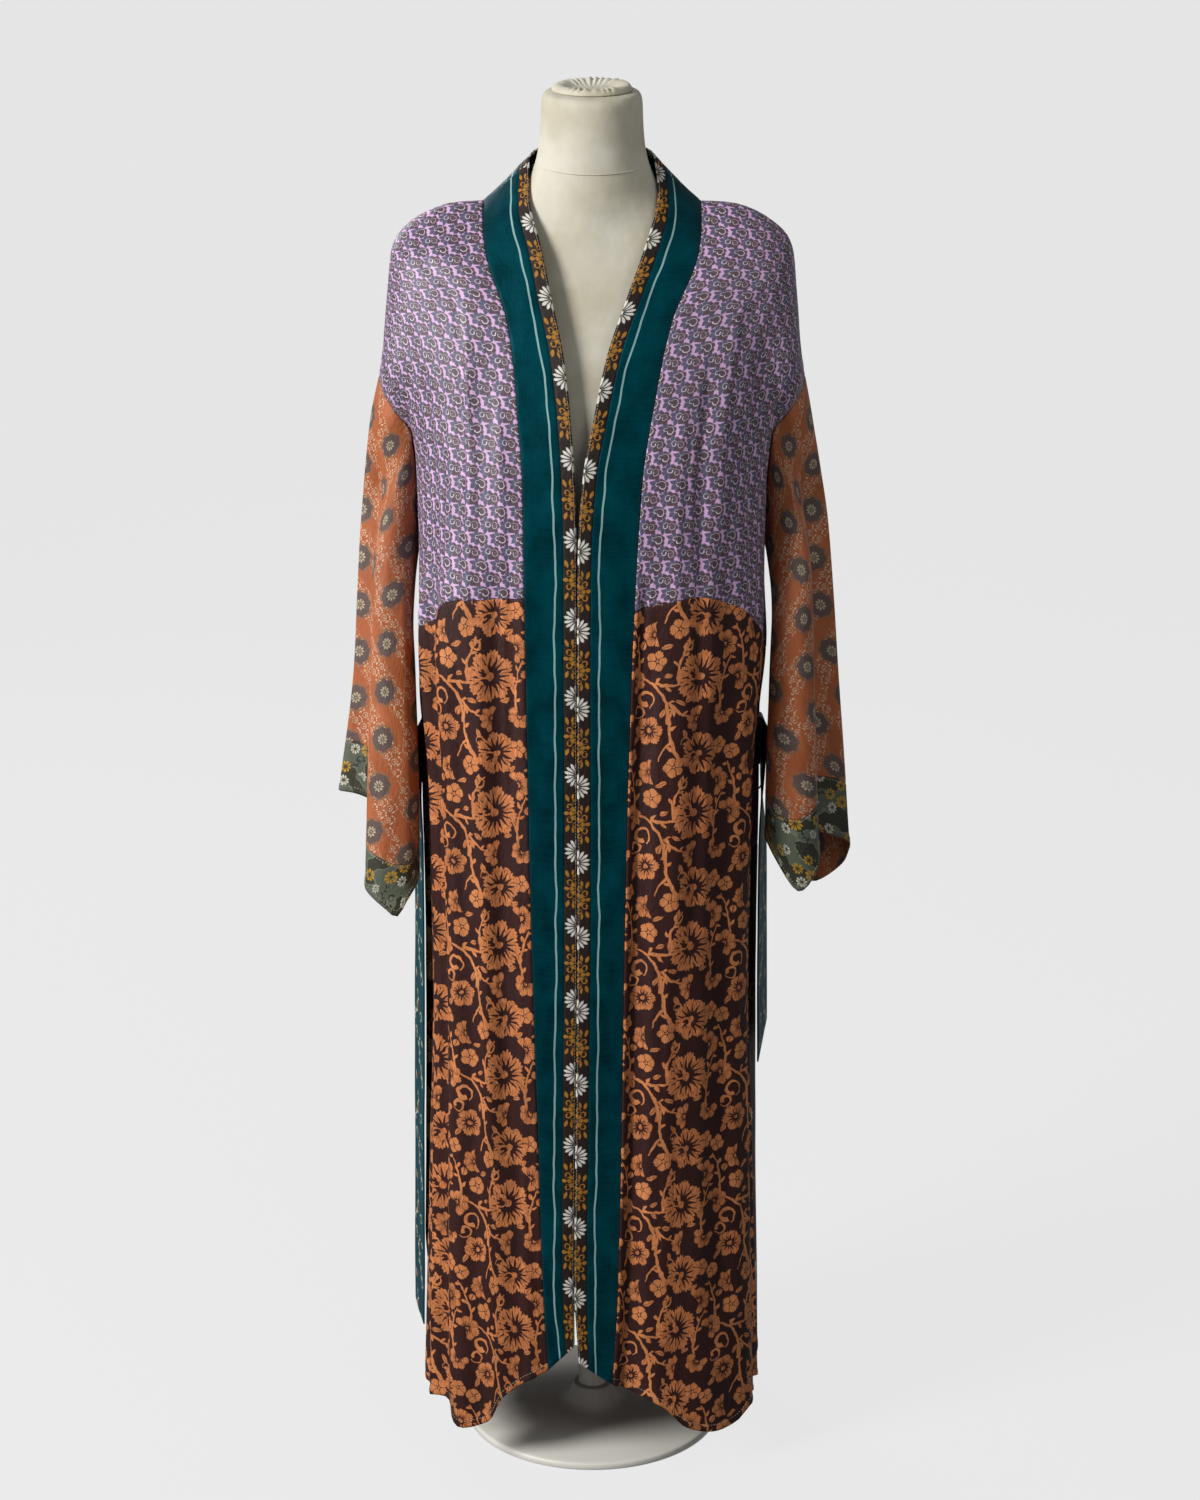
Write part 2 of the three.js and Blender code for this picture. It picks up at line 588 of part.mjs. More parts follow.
const BACK_COLUMNS = [
  ...steps(BACK.shoulder).map((t) => mix(-1, -NECK_SHARE, t)),
  ...NECK_COLUMNS.slice(1, -1).map((k) => k * NECK_SHARE),
  ...steps(BACK.shoulder).map((t) => mix(NECK_SHARE, 1, t)),
];
const SLEEVE_COLUMNS = [
  ...ARMHOLE_STEPS.map((e) => e / 2),
  ...ARMHOLE_STEPS.slice(1, -1).reverse().map((e) => 1 - e / 2),
];

// A cloth wall over a grid of points: outer face, inner face and closed borders. point
// gives the outer face; flip turns the wall over; round joins the last column to the first.
function cloth(columns, rows, point, { flip = false, round = false, thickness = CLOTH, gap = SEAM_GAP } = {}) {
  const nudge = 1e-3;
  const outer = rows.map((row) => columns.map((column) => point(column, row)));
  const inner = rows.map((row, j) =>
    columns.map((column, i) => {
      const aside = i === columns.length - 1 && !round ? -nudge : nudge;
      const down = j === rows.length - 1 ? -nudge : nudge;
      const across = point(column + aside, row).sub(outer[j][i]).multiplyScalar(Math.sign(aside));
      const along = point(column, row + down).sub(outer[j][i]).multiplyScalar(Math.sign(down));
      const normal = across.cross(along).normalize().multiplyScalar(flip ? -1 : 1);
      return outer[j][i].clone().addScaledVector(normal, -thickness);
    }),
  );
  for (const grid of [outer, inner]) {
    const draw = (from, to) => from.addScaledVector(to.clone().sub(from).normalize(), gap / 2);
    for (let i = 0; i < columns.length; i++) {
      draw(grid[0][i], grid[1][i]);
      draw(grid.at(-1)[i], grid.at(-2)[i]);
    }
    if (round) continue;
    for (let j = 0; j < rows.length; j++) {
      draw(grid[j][0], grid[j][1]);
      draw(grid[j].at(-1), grid[j].at(-2));
    }
  }
  const wide = columns.length;
  const last = rows.length - 1;
  const at = (face, j, i) => face * wide * rows.length + j * wide + (i % wide);
  const faces = [];
  const quad = (a, b, c, d) => faces.push(a, b, c, a, c, d);
  for (let j = 0; j < last; j++) {
    for (let i = 0; i < wide - (round ? 0 : 1); i++) {
      quad(at(0, j, i), at(0, j, i + 1), at(0, j + 1, i + 1), at(0, j + 1, i));
      quad(at(1, j, i), at(1, j + 1, i), at(1, j + 1, i + 1), at(1, j, i + 1));
    }
  }
  for (let i = 0; i < wide - (round ? 0 : 1); i++) {
    quad(at(1, 0, i), at(1, 0, i + 1), at(0, 0, i + 1), at(0, 0, i));
    quad(at(0, last, i), at(0, last, i + 1), at(1, last, i + 1), at(1, last, i));
  }
  for (let j = 0; j < last && !round; j++) {
    quad(at(1, j, 0), at(0, j, 0), at(0, j + 1, 0), at(1, j + 1, 0));
    quad(at(0, j, wide - 1), at(1, j, wide - 1), at(1, j + 1, wide - 1), at(0, j + 1, wide - 1));
  }
  if (flip) faces.reverse();
  const geometry = new THREE.BufferGeometry();
  const points = [...outer.flat(), ...inner.flat()].flatMap((p) => p.toArray());
  geometry.setAttribute("position", new THREE.Float32BufferAttribute(points, 3));
  geometry.setIndex(faces);
  geometry.computeVertexNormals();
  return geometry;
}

// A closed solid through rings of points, with flat ends
function rings(rows, sides, point) {
  const points = [];
  const faces = [];
  rows.forEach((row) => {
    for (let i = 0; i < sides; i++) points.push(point(row, (i / sides) * 2 * Math.PI));
  });
  const middle = (row) => {
    const sum = new THREE.Vector3();
    for (let i = 0; i < sides; i++) sum.add(points[row * sides + i]);
    return sum.divideScalar(sides);
  };
  const low = points.push(middle(0)) - 1;
  const high = points.push(middle(rows.length - 1)) - 1;
  for (let i = 0; i < sides; i++) {
    const next = (i + 1) % sides;
    for (let j = 0; j < rows.length - 1; j++) {
      const here = j * sides;
      const above = here + sides;
      faces.push(here + i, here + next, above + next, here + i, above + next, above + i);
    }
    const top = (rows.length - 1) * sides;
    faces.push(low, next, i, high, top + i, top + next);
  }
  const geometry = new THREE.BufferGeometry();
  const flat = points.flatMap((p) => p.toArray());
  geometry.setAttribute("position", new THREE.Float32BufferAttribute(flat, 3));
  geometry.setIndex(faces);
  geometry.computeVertexNormals();
  return geometry;
}

const robe = new THREE.Group();
const stand = new THREE.Group();

function add(group, name, colour, geometry, roughness = 0.5, metalness = 0) {
  const mesh = new THREE.Mesh(geometry, new THREE.MeshStandardMaterial({ color: colour, roughness, metalness }));
  mesh.name = name;
  group.add(mesh);
  return mesh;
}

// Fronts, bands and sleeves, left and right
const across = steps(FRONT.columns);
for (const side of ["left", "right"]) {
  const flip = side === "right";
  const front = (u, row) => frontPoint(side, u, row);
  const frontCloth = { flip, gap: SLANT_GAP };
  const sleeve = (a, b) => sleevePoint(side, a, b);
  add(robe, `front_${side}_upper`, COLOUR.lilac, cloth(across, FRONT_ROWS, front, frontCloth));
  add(robe, `front_${side}_lower`, COLOUR.brown, cloth(across, FRONT_LOWER_ROWS, front, frontCloth));

  const bandRows = [...FRONT_ROWS, ...FRONT_LOWER_ROWS.slice(1)];
  const strip = (from, to) => (t, row) => {
    const start = edgingStart(bandPoint(side, row, 0), bandPoint(side, row, 1));
    return bandPoint(side, row, mix(from(start), to(start), t));
  };
  const teal = strip(() => 0, (start) => start);
  const edging = strip((start) => start, () => 1);
  add(robe, `band_${side}`, COLOUR.teal, cloth([0, 0.5, 1], bandRows, teal, { flip: !flip }), 0.35);
  add(robe, `edging_${side}`, COLOUR.edging, cloth([0, 1], bandRows, edging, { flip: !flip }));

  const sleeveRows = steps(SLEEVE_ROWS);
  const cuffRows = steps(CUFF_ROWS).map((t) => 1 + t);
  const round = { flip: !flip, round: true, gap: SLANT_GAP };
  add(robe, `sleeve_${side}`, COLOUR.rust, cloth(SLEEVE_COLUMNS, sleeveRows, sleeve, round));
  add(robe, `cuff_${side}`, COLOUR.cuff, cloth(SLEEVE_COLUMNS, cuffRows, sleeve, round));
}

// Back and the band behind the neck
add(robe, "back_upper", COLOUR.crimson, cloth(BACK_COLUMNS, BACK_ROWS, backPoint, { flip: true }));
add(robe, "back_lower", COLOUR.cream, cloth(BACK_COLUMNS, BACK_LOWER_ROWS, backPoint, { flip: true }));
const neckEdging = (k) => edgingStart(neckBandPoint(k, 0), neckBandPoint(k, 1));
const neckTeal = (k, t) => neckBandPoint(k, mix(0, neckEdging(k), t));
const neckTrim = (k, t) => neckBandPoint(k, mix(neckEdging(k), 1, t));
add(robe, "band_neck", COLOUR.teal, cloth(NECK_COLUMNS, [0, 0.5, 1], neckTeal, { flip: true }), 0.35);
add(robe, "edging_neck", COLOUR.edging, cloth(NECK_COLUMNS, [0, 1], neckTrim, { flip: true }));

// Sash: across the back, hanging at both sides, and a thread loop at each side seam
const sashTop = SASH_HEIGHT + SASH_WIDTH / 2;
const sashAcross = (at, t) => {
  const z = sashTop - t * SASH_WIDTH;
  const half = along(BODY, "z", z, "halfBack") + SASH_CLEARANCE;
  const depth = along(BODY, "z", z, "behind") + SASH_CLEARANCE;
  const place = superellipse(half, depth, bodySquare(z), (at * SASH_REACH * Math.PI) / 2);
  return new THREE.Vector3(place.across, place.depth, z);
};
const sashCloth = { thickness: SASH_CLOTH };
const sashSteps = steps(SASH_COLUMNS).map((t) => mix(-1, 1, t));
add(robe, "sash_back", COLOUR.teal, cloth(sashSteps, [0, 1], sashAcross, { ...sashCloth, flip: true }), 0.4);
for (const side of ["left", "right"]) {
  const sign = side === "left" ? -1 : 1;
  const end = SASH_END[side];
  const hanging = (t, down) => {
    const z = mix(sashTop, end.bottom + end.slant * t, down);
    const tuck = end.tuck * smooth((sashTop - z) / SASH_WIDTH / 2);
    const value = (column) => along(SASH_PLAN, "z", z, column);
    const x = mix(value("frontX"), value("backX"), t) - tuck;
    return new THREE.Vector3(sign * x, mix(value("frontY"), value("backY"), t), z);
  };
  const hangingRows = steps(SASH_ROWS);
  const strip = cloth([0, 0.5, 1], hangingRows, hanging, { ...sashCloth, flip: side === "right" });
  add(robe, `sash_${side}`, COLOUR.teal, strip, 0.4);

  const seam = (z) => along(SIDE_SEAM, "z", z, "x");
  const path = LOOP_PATH.map(({ out, z }) => new THREE.Vector3(sign * (seam(z) + out), LOOP_AHEAD, z));
  const thread = new THREE.Shape(
    steps(6).slice(0, -1).map((t) => {
      const turn = 2 * Math.PI * t;
      return new THREE.Vector2((LOOP_THREAD / 2) * Math.cos(turn), (LOOP_THREAD / 2) * Math.sin(turn));
    }),
  );
  const route = { extrudePath: new THREE.CatmullRomCurve3(path), steps: 16 };
  add(robe, `belt_loop_${side}`, COLOUR.thread, new THREE.ExtrudeGeometry(thread, route), 0.8);
}

// Dress form and its neck cap
const formAt = (row, angle) => {
  const depth = Math.cos(angle) < 0 ? row.behind : row.ahead;
  const place = superellipse(row.half, depth, row.square, angle);
  const lean = smooth((row.z - NECK_FOOT) / (NECK_TOP - NECK_FOOT)) * NECK_TILT;
  return new THREE.Vector3(-place.across, -place.depth, row.z - lean * place.depth);
};
add(stand, "form_body", COLOUR.jersey, rings(FORM, FORM_SIDES, (row, angle) => formAt(row, -angle)), 0.9);
const capAt = (row, angle) => {
  const x = NECK_CAP.width * row.size * Math.sin(angle);
  const y = -NECK_CAP.depth * row.size * Math.cos(angle);
  return new THREE.Vector3(x, y, NECK_TOP + SEAM_GAP + row.rise + NECK_TILT * y);
};
const capRows = [
  { size: 1, rise: 0 },
  { size: 1, rise: 0.5 * NECK_CAP.height },
  { size: 0.9, rise: NECK_CAP.height },
  { size: 0.5, rise: 0.8 * NECK_CAP.height },
];
add(stand, "neck_cap", COLOUR.jersey, rings(capRows, 24, capAt), 0.9);

// Stand: pole with a collar under the form, in a boss on a round base plate
const socket = new THREE.CylinderGeometry(COLLAR.radius, COLLAR.radius * 0.8, COLLAR.height, 24);
const collarTop = FORM_UNDERSIDE - SEAM_GAP;
const poleTop = collarTop - COLLAR.height - SEAM_GAP;
const poleFoot = BASE.bossHeight + SEAM_GAP;
const upright = (mesh, z) => {
  mesh.rotation.x = Math.PI / 2;
  mesh.position.z = z;
};
upright(add(stand, "pole_collar", COLOUR.steel, socket, 0.45), collarTop - COLLAR.height / 2);
const rod = new THREE.CylinderGeometry(POLE_RADIUS, POLE_RADIUS, poleTop - poleFoot, 20);
upright(add(stand, "pole", COLOUR.steel, rod, 0.45), (poleTop + poleFoot) / 2);
const plate = new THREE.LatheGeometry(
  [
    [0, 0],
    [BASE.radius, 0],
    [BASE.radius, BASE.plate - 2],
    [BASE.radius - 3, BASE.plate],
    [BASE.boss, BASE.plate + 2],
    [BASE.boss * 0.75, BASE.plate + 8],
    [POLE_RADIUS + 6, BASE.bossHeight],
    [0, BASE.bossHeight],
  ].map(([r, z]) => new THREE.Vector2(r, z)),
  32,
);
upright(add(stand, "base_plate", COLOUR.steel, plate, 0.45), 0);

const part = new THREE.Group();
part.add(robe, stand);
export default part;
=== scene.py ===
# A long kimono robe, pieced from printed silks, on a limbless dress form.
# Shapes are worked out in millimetres and made in metres, +Z up, with the front facing -Y.
import math

import bmesh
import bpy
from mathutils import Matrix, Vector, noise


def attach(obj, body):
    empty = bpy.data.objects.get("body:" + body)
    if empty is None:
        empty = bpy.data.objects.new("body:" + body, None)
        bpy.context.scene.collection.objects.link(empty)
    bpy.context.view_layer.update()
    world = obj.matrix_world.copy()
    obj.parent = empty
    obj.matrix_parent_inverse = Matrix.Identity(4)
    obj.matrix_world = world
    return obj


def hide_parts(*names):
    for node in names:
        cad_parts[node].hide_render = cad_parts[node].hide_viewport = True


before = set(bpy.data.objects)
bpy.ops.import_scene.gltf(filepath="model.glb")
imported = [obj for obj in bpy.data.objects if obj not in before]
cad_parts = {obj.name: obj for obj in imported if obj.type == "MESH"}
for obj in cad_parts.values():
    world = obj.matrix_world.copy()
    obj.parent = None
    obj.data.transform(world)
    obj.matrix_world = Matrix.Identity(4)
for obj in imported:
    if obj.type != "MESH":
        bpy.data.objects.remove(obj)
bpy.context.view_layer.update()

# ---------------------------------------------------------------------------------------
# Studio: a camera a little above the shoulders looking down at the robe, a pale floor that
# curves up behind it, and a large soft light from the left with little to fill the right.
CAMERA = {"x": 0.008, "y": -3.0, "z": 1.61, "down": 15.69, "lens": 70.99}


def placed(name, data):
    """A new object in the scene."""
    made = bpy.data.objects.new(name, data)
    bpy.context.scene.collection.objects.link(made)
    return made


camera = placed("camera", bpy.data.cameras.new("camera"))
camera.data.lens = CAMERA["lens"]
camera.data.sensor_fit = "VERTICAL"
camera.data.sensor_height = 36
camera.location = (CAMERA["x"], CAMERA["y"], CAMERA["z"])
camera.rotation_euler = (math.radians(90 - CAMERA["down"]), 0, 0)
bpy.context.scene.camera = camera
bpy.context.scene.view_settings.view_transform = "Standard"


def linear(colour):
    """A colour written as sRGB hex, turned to linear red, green, blue and alpha."""
    parts = [int(colour[i : i + 2], 16) / 255 for i in (0, 2, 4)]
    return [c / 12.92 if c <= 0.04045 else ((c + 0.055) / 1.055) ** 2.4 for c in parts] + [1]


def add(tree, kind, *inputs, **settings):
    """Adds one node with its settings and links. kind is a shader node's name, or in capitals
    an operation of the Math node. Inputs are values or sockets, in order or by name."""
    node = tree.nodes.new("ShaderNodeMath" if kind.isupper() else "ShaderNode" + kind)
    if kind.isupper():
        node.operation = kind
    for name, value in settings.items():
        setattr(node, name, value)
    named = {}
    for given in inputs:
        named.update(given if isinstance(given, dict) else {len(named): given})
    sockets = [socket for socket in node.inputs if socket.enabled]
    for name, value in named.items():
        socket = sockets[name] if isinstance(name, int) else next(s for s in sockets if s.name == name)
        if isinstance(value, bpy.types.NodeSocket):
            tree.links.new(value, socket)
        else:
            socket.default_value = value
    return next(socket for socket in node.outputs if socket.enabled)


def material(name, **shader):
    """A new material whose shader has these values, and the node tree that its pattern goes in."""
    made = bpy.data.materials.new(name)
    made.use_nodes = True
    bsdf = made.node_tree.nodes["Principled BSDF"]
    for socket, value in shader.items():
        bsdf.inputs[socket.replace("_", " ")].default_value = value
    return made, made.node_tree


def finish_with(tree, **links):
    """Links sockets of a finished pattern to the material's shader."""
    for name, socket in links.items():
        tree.links.new(socket, tree.nodes["Principled BSDF"].inputs[name.replace("_", " ")])


def meshed(name, mesh):
    """A new object from a bmesh, shaded smooth."""
    for face in mesh.faces:
        face.smooth = True
    made = placed(name, bpy.data.meshes.new(name))
    mesh.to_mesh(made.data)
    mesh.free()
    return made


# Matt painted studio board: even and pale
BACKDROP = {"half": 9.0, "front": -9.0, "bend": 3.5, "radius": 2.5, "height": 7.0, "steps": 12}
board, tree = material(
    "painted studio board", Roughness=0.9, Base_Color=linear("3A3A3A"), Emission_Strength=1.0
)
grain = add(tree, "TexNoise", {"Scale": 3.0, "Detail": 3.0})
tone = add(tree, "Mix", grain, {"A": linear("E1E1E1"), "B": linear("E3E3E3")}, data_type="RGBA")
finish_with(tree, Emission_Color=tone)
left, bend, radius = -BACKDROP["half"], BACKDROP["bend"], BACKDROP["radius"]
profile = [Vector((left, BACKDROP["front"], 0)), Vector((left, bend, 0))]
for step in range(1, BACKDROP["steps"] + 1):
    turn = math.radians(90 * step / BACKDROP["steps"])
    profile.append(Vector((left, bend + radius * math.sin(turn), radius * (1 - math.cos(turn)))))
profile.append(profile[-1] + Vector((0, 0, BACKDROP["height"])))
sheet = bmesh.new()
corners = [sheet.verts.new(point) for point in profile]
edges = [sheet.edges.new(pair) for pair in zip(corners, corners[1:])]
swept = bmesh.ops.extrude_edge_only(sheet, edges=edges)["geom"]
moved = [part for part in swept if isinstance(part, bmesh.types.BMVert)]
bmesh.ops.translate(sheet, verts=moved, vec=(2 * BACKDROP["half"], 0, 0))
bmesh.ops.recalc_face_normals(sheet, faces=sheet.faces)
backdrop = meshed("backdrop", sheet)
backdrop.data.materials.append(board)
backdrop.visible_diffuse = backdrop.visible_glossy = False

# Lights: size, power and place of each softbox, aimed at the chest
LIGHTS = {
    "key": {"size": 1.4, "power": 182, "place": (-3.0, -1.95, 2.5)},
    "fill": {"size": 1.6, "power": 10, "place": (1.3, -1.9, 2.3)},
    "back": {"size": 2.0, "power": 30, "place": (-1.5, 2.8, 2.6)},
}
AIM = Vector((0, 0, 0.85))
for name, light in LIGHTS.items():
    lamp = placed(name, bpy.data.lights.new(name, "AREA"))
    lamp.data.shape = "DISK"
    lamp.data.size = light["size"]
    lamp.data.energy = light["power"]
    lamp.location = light["place"]
    lamp.rotation_euler = (AIM - lamp.location).to_track_quat("-Z", "Y").to_euler()
bpy.context.scene.world = bpy.data.worlds.new("studio")
bpy.context.scene.world.use_nodes = True
sky = bpy.context.scene.world.node_tree.nodes["Background"]
sky.inputs["Color"].default_value = linear("F4F6FA")
sky.inputs["Strength"].default_value = 0.19

# ---------------------------------------------------------------------------------------
# Fronts: an upper panel of lilac printed silk and a lower panel of dark brown silk with a
# rust flower print on each side, sewn together at a slanting waist seam. They hang from the
# shoulder seam in soft lengthwise folds, with a narrow rolled hem sewn in pale thread.
MM = 0.001
CLOTH = 1.2  # thickness of a piece of cloth
CELL = 4.5  # spacing of the points of a piece of cloth
SHOULDER_HALF = 109
NECK_SEAM_TOP = 1339
UNDERARM = 1000


class Table:
    """Sizes by row, with named columns. A smooth curve in the first column joins each other one."""

    def __init__(self, columns, *rows):
        rows = sorted(rows)
        self.at = [row[0] for row in rows]
        self.columns = {}
        for i, name in enumerate(columns.split()):
            values = [row[i] for row in rows]
            slopes = [(b - a) / (q - p) for a, b, p, q in zip(values, values[1:], self.at, self.at[1:])]
            bends = [slopes[0]]
            bends += [2 * a * b / (a + b) if a * b > 0 else 0 for a, b in zip(slopes, slopes[1:])]
            self.columns[name] = values, bends + [slopes[-1]]

    def __call__(self, column, at):
        values, bends = self.columns[column]
        at = min(max(at, self.at[0]), self.at[-1])
        i = 0
        while i < len(self.at) - 2 and at > self.at[i + 1]:
            i += 1
        span = self.at[i + 1] - self.at[i]
        t = (at - self.at[i]) / span
        start = values[i] * (1 + 2 * t) + bends[i] * span * t
        end = values[i + 1] * (3 - 2 * t) - bends[i + 1] * span * (1 - t)
        return start * (1 - t) ** 2 + end * t * t


BODY = Table(
    "z ahead behind half halfBack",
    (1342, 48, 76, 113, 113),
    (1324, 54, 81, 168, 168),
    (1311, 60, 85, 188, 188),
    (1287, 76, 91, 202, 202),
    (1245, 86, 97, 205, 205),
    (1193, 101, 101, 200, 200),
    (1136, 115, 101, 190, 192),
    (1078, 127, 100, 183, 184),
    (1000, 134, 98, 182, 182),
    (900, 138, 103, 181, 183),
    (830, 139, 106, 176, 184),
    (750, 140, 109, 170, 185),
    (540, 143, 113, 168, 184),
    (300, 147, 120, 175, 186),
    (40, 153, 128, 184, 191),
)
RIDGE = Table(
    "u x z",
    (0, SHOULDER_HALF, NECK_SEAM_TOP),
    (0.13, 140, 1337),
    (0.25, 165, 1329),
    (0.36, 184, 1317),
    (0.44, 197, 1303),
    (0.5, 202, 1289),
    (0.66, 206, 1250),
    (0.88, 212, 1193),
    (1, 217, 1163),
)
# Below the shoulder seam the cloth reaches the body's outline over this much height
SHOULDER_FALL = Table("u fall", (0, 110), (0.5, 72), (1, 50))
ARMHOLE = {
    "front": Table(
        "e x y z",
        (0, 217, 0, 1163),
        (0.13, 212, -22, 1150),
        (0.28, 197, -36, 1130),
        (0.42, 182, -31, 1108),
        (0.73, 177, -12, 1050),
        (1, 175, 5, UNDERARM),
    ),
    "back": Table(
        "e x y z",
        (0, 217, 0, 1163),
        (0.14, 212, 24, 1150),
        (0.29, 199, 39, 1130),
        (0.43, 183, 40, 1108),
        (0.73, 177, 22, 1050),
        (1, 175, 5, UNDERARM),
    ),
}
SIDE_SEAM = Table(
    "z x y", (1000, 175, 5), (900, 174, 7), (750, 165, 9), (540, 163, 9), (300, 171, 9), (40, 181, 9)
)
BAND = {
    "left": Table(
        "z outer free lift y",
        (NECK_SEAM_TOP, SHOULDER_HALF, 63, 38, -1),
        (1317, 103, 63, 33, -28),
        (1285, 96, 50, 15, -64),
        (1245, 87, 40, 9, -84),
        (1193, 78, 28, 5, -103),
        (1136, 73, 21, 3, -118),
        (1078, 69, 17, 1, -129),
        (1000, 68, 15, 0, -135),
        (837, 66, 15, 0, -138),
        (648, 63, 15, 0, -141),
        (430, 58, 17, 0, -144),
        (216, 52, 19, 10, -148),
        (110, 46, 19, 30, -150),
    ),
    "right": Table(
        "z outer free lift y",
        (NECK_SEAM_TOP, SHOULDER_HALF, 63, 38, -1),
        (1317, 107, 66, 33, -26),
        (1285, 97, 52, 14, -64),
        (1245, 84, 35, 9, -86),
        (1193, 70, 15, 5, -106),
        (1136, 59, 2, 3, -121),
        (1078, 50, -9, 1, -132),
        (1000, 45, -14, 0, -139),
        (858, 39, -15, 0, -142),
        (648, 34, -15, 0, -145),
        (430, 31, -17, 0, -149),
        (216, 27, -19, 10, -153),
        (100, 21, -14, 28, -155),
    ),
}
WAIST = {
    "left": Table("u z", (0, 960), (0.36, 955), (0.55, 928), (0.75, 895), (1, 872)),
    "right": Table(
        "u z", (0, 948), (0.12, 954), (0.3, 960), (0.5, 947), (0.65, 919), (0.85, 885), (1, 872)
    ),
}
HEM = {
    "left": Table(
        "u z", (0, 125), (
            0.14, 107
        ), (0.21, 93), (0.28, 62), (0.39, 51), (0.49, 63), (0.56, 70), (0.8, 66), (1, 50)
    ),
    "right": Table(
        "u z", (0, 108), (0.22, 83), (0.33, 54), (0.45, 45), (0.53, 48), (0.6, 62), (0.8, 62), (1, 52)
    ),
    "back": Table("s z", (-1, 50), (-0.6, 60), (-0.25, 52), (0.2, 61), (0.65, 54), (1, 50)),
}
# Each fold: place across, depth (out is positive), half width across, top and bottom in z
FOLDS = {
    "left": [
        (0.1, -7, 0.09, 1080, 380), (0.23, 5, 0.08, 1000, 60), (0.4, 8, 0.08, 1010, 45),
        (0.52, -8, 0.09, 1060, 45), (0.84, -9, 0.09, 900, 45),
    ],
    "right": [
        (0.09, -6, 0.08, 1010, 60), (0.22, 5, 0.09, 980, 45), (0.45, -6, 0.09, 1080, 260),
        (0.6, 6, 0.09, 930, 45), (0.78, -9, 0.09, 960, 45),
    ],
    "back": [
        (-0.72, -9, 0.08, 1010, 45), (-0.5, 6, 0.09, 820, 45), (-0.28, -8, 0.08, 900, 60),
        (-0.02, 5, 0.1, 760, 45), (0.2, -7, 0.08, 1000, 120), (0.44, 7, 0.09, 840, 45),
        (0.66, -9, 0.08, 960, 45),
    ],
}
FOLD_FADE, CREASE_FADE = 170, 70  # the height over which a fold or a crease runs out
# Smaller creases of the light cloth, written in the same way
CREASES = {
    "left": [
        (0.175, -8, 0.05, 1010, 400), (0.3, 4, 0.05, 1240, 640), (0.34, -2.4, 0.022, 1335, 1130),
        (0.47, 6, 0.06, 990, 100), (0.6, 7, 0.045, 1010, 60), (0.665, -9, 0.035, 1010, 50),
        (0.76, 5, 0.05, 900, 90), (0.9, -5, 0.045, 1270, 1080), (0.56, -3, 0.04, 1200, 980),
        (0.12, 3, 0.045, 1180, 960), (0.42, 3, 0.035, 1150, 960), (0.08, 4, 0.04, 800, 120),
    ],
    "right": [
        (0.045, -6, 0.03, 1010, 50), (0.13, 5, 0.045, 900, 160), (0.32, -4, 0.04, 1220, 640),
        (0.53, 4, 0.045, 900, 200), (0.68, -4, 0.035, 820, 60), (0.83, 5, 0.03, 960, 70),
        (0.24, -3, 0.04, 620, 60), (0.885, -6, 0.028, 1010, 60), (0.935, 4, 0.02, 960, 200),
        (0.87, -6, 0.05, 1280, 1060), (0.42, 2.4, 0.035, 1300, 1060), (0.6, -2.6, 0.04, 1240, 980),
        (0.2, 2.6, 0.045, 1180, 980),
    ],
    "back": [
        (-0.84, 5, 0.04, 980, 200), (-0.6, -5, 0.035, 760, 60), (-0.39, 5, 0.04, 1180, 600),
        (-0.15, -4, 0.035, 880, 80), (0.09, 5, 0.035, 740, 50), (0.31, -4.5, 0.035, 1200, 500),
        (0.56, 5, 0.045, 940, 60), (0.78, -5, 0.03, 800, 90), (-0.9, -5, 0.05, 1270, 1060),
        (0.9, -5, 0.05, 1270, 1070),
    ],
}


def mix(a, b, t):
    return a + (b - a) * t


def clamp(t):
    return min(1, max(0, t))


def smooth(t):
    return clamp(t) ** 2 * (3 - 2 * clamp(t))


def roll(q):
    return math.sqrt(1 - (1 - clamp(q)) ** 2)


def superellipse(half, depth, power, angle):
    """Point of a superellipse at an angle from the middle line: (across, depth)."""
    sin, cos = math.sin(angle), math.cos(angle)
    radius = (abs(sin / half) ** power + abs(cos / depth) ** power) ** (-1 / power)
    return radius * sin, radius * cos


# The robe's outline is squarer round the skirt, and from this height up rounder over the chest
BODY_SQUARE = {"skirt": 3.4, "chest": 2.6, "top": 850, "over": 250}


def body_square(z):
    rise = smooth((z - BODY_SQUARE["top"]) / BODY_SQUARE["over"])
    return mix(BODY_SQUARE["skirt"], BODY_SQUARE["chest"], rise)


def fold_depth(folds, at, z, run_out=FOLD_FADE):
    depth = 0
    for place, most, width, top, bottom in folds:
        reach = abs(at - place) / width
        if reach < 1:
            fade = smooth((top - z) / run_out) * smooth(1 - (bottom - z) / run_out)
            depth += most * fade * (0.5 + 0.5 * math.cos(math.pi * reach))
    return depth


def side_edge(half, e, z):
    """The side edge of a front or back: the armhole down to the underarm, then the side seam."""
    if e < 1:
        return [ARMHOLE[half](column, e) for column in "xyz"]
    return [SIDE_SEAM("x", z), SIDE_SEAM("y", z), z]


ARMHOLE_ROW = {"front": 0.68, "back": 0.4}  # the row at the foot of the armhole
SIDE_PULL = {"front": 0.6, "back": 0.78}  # past this column the cloth is drawn to its side edge


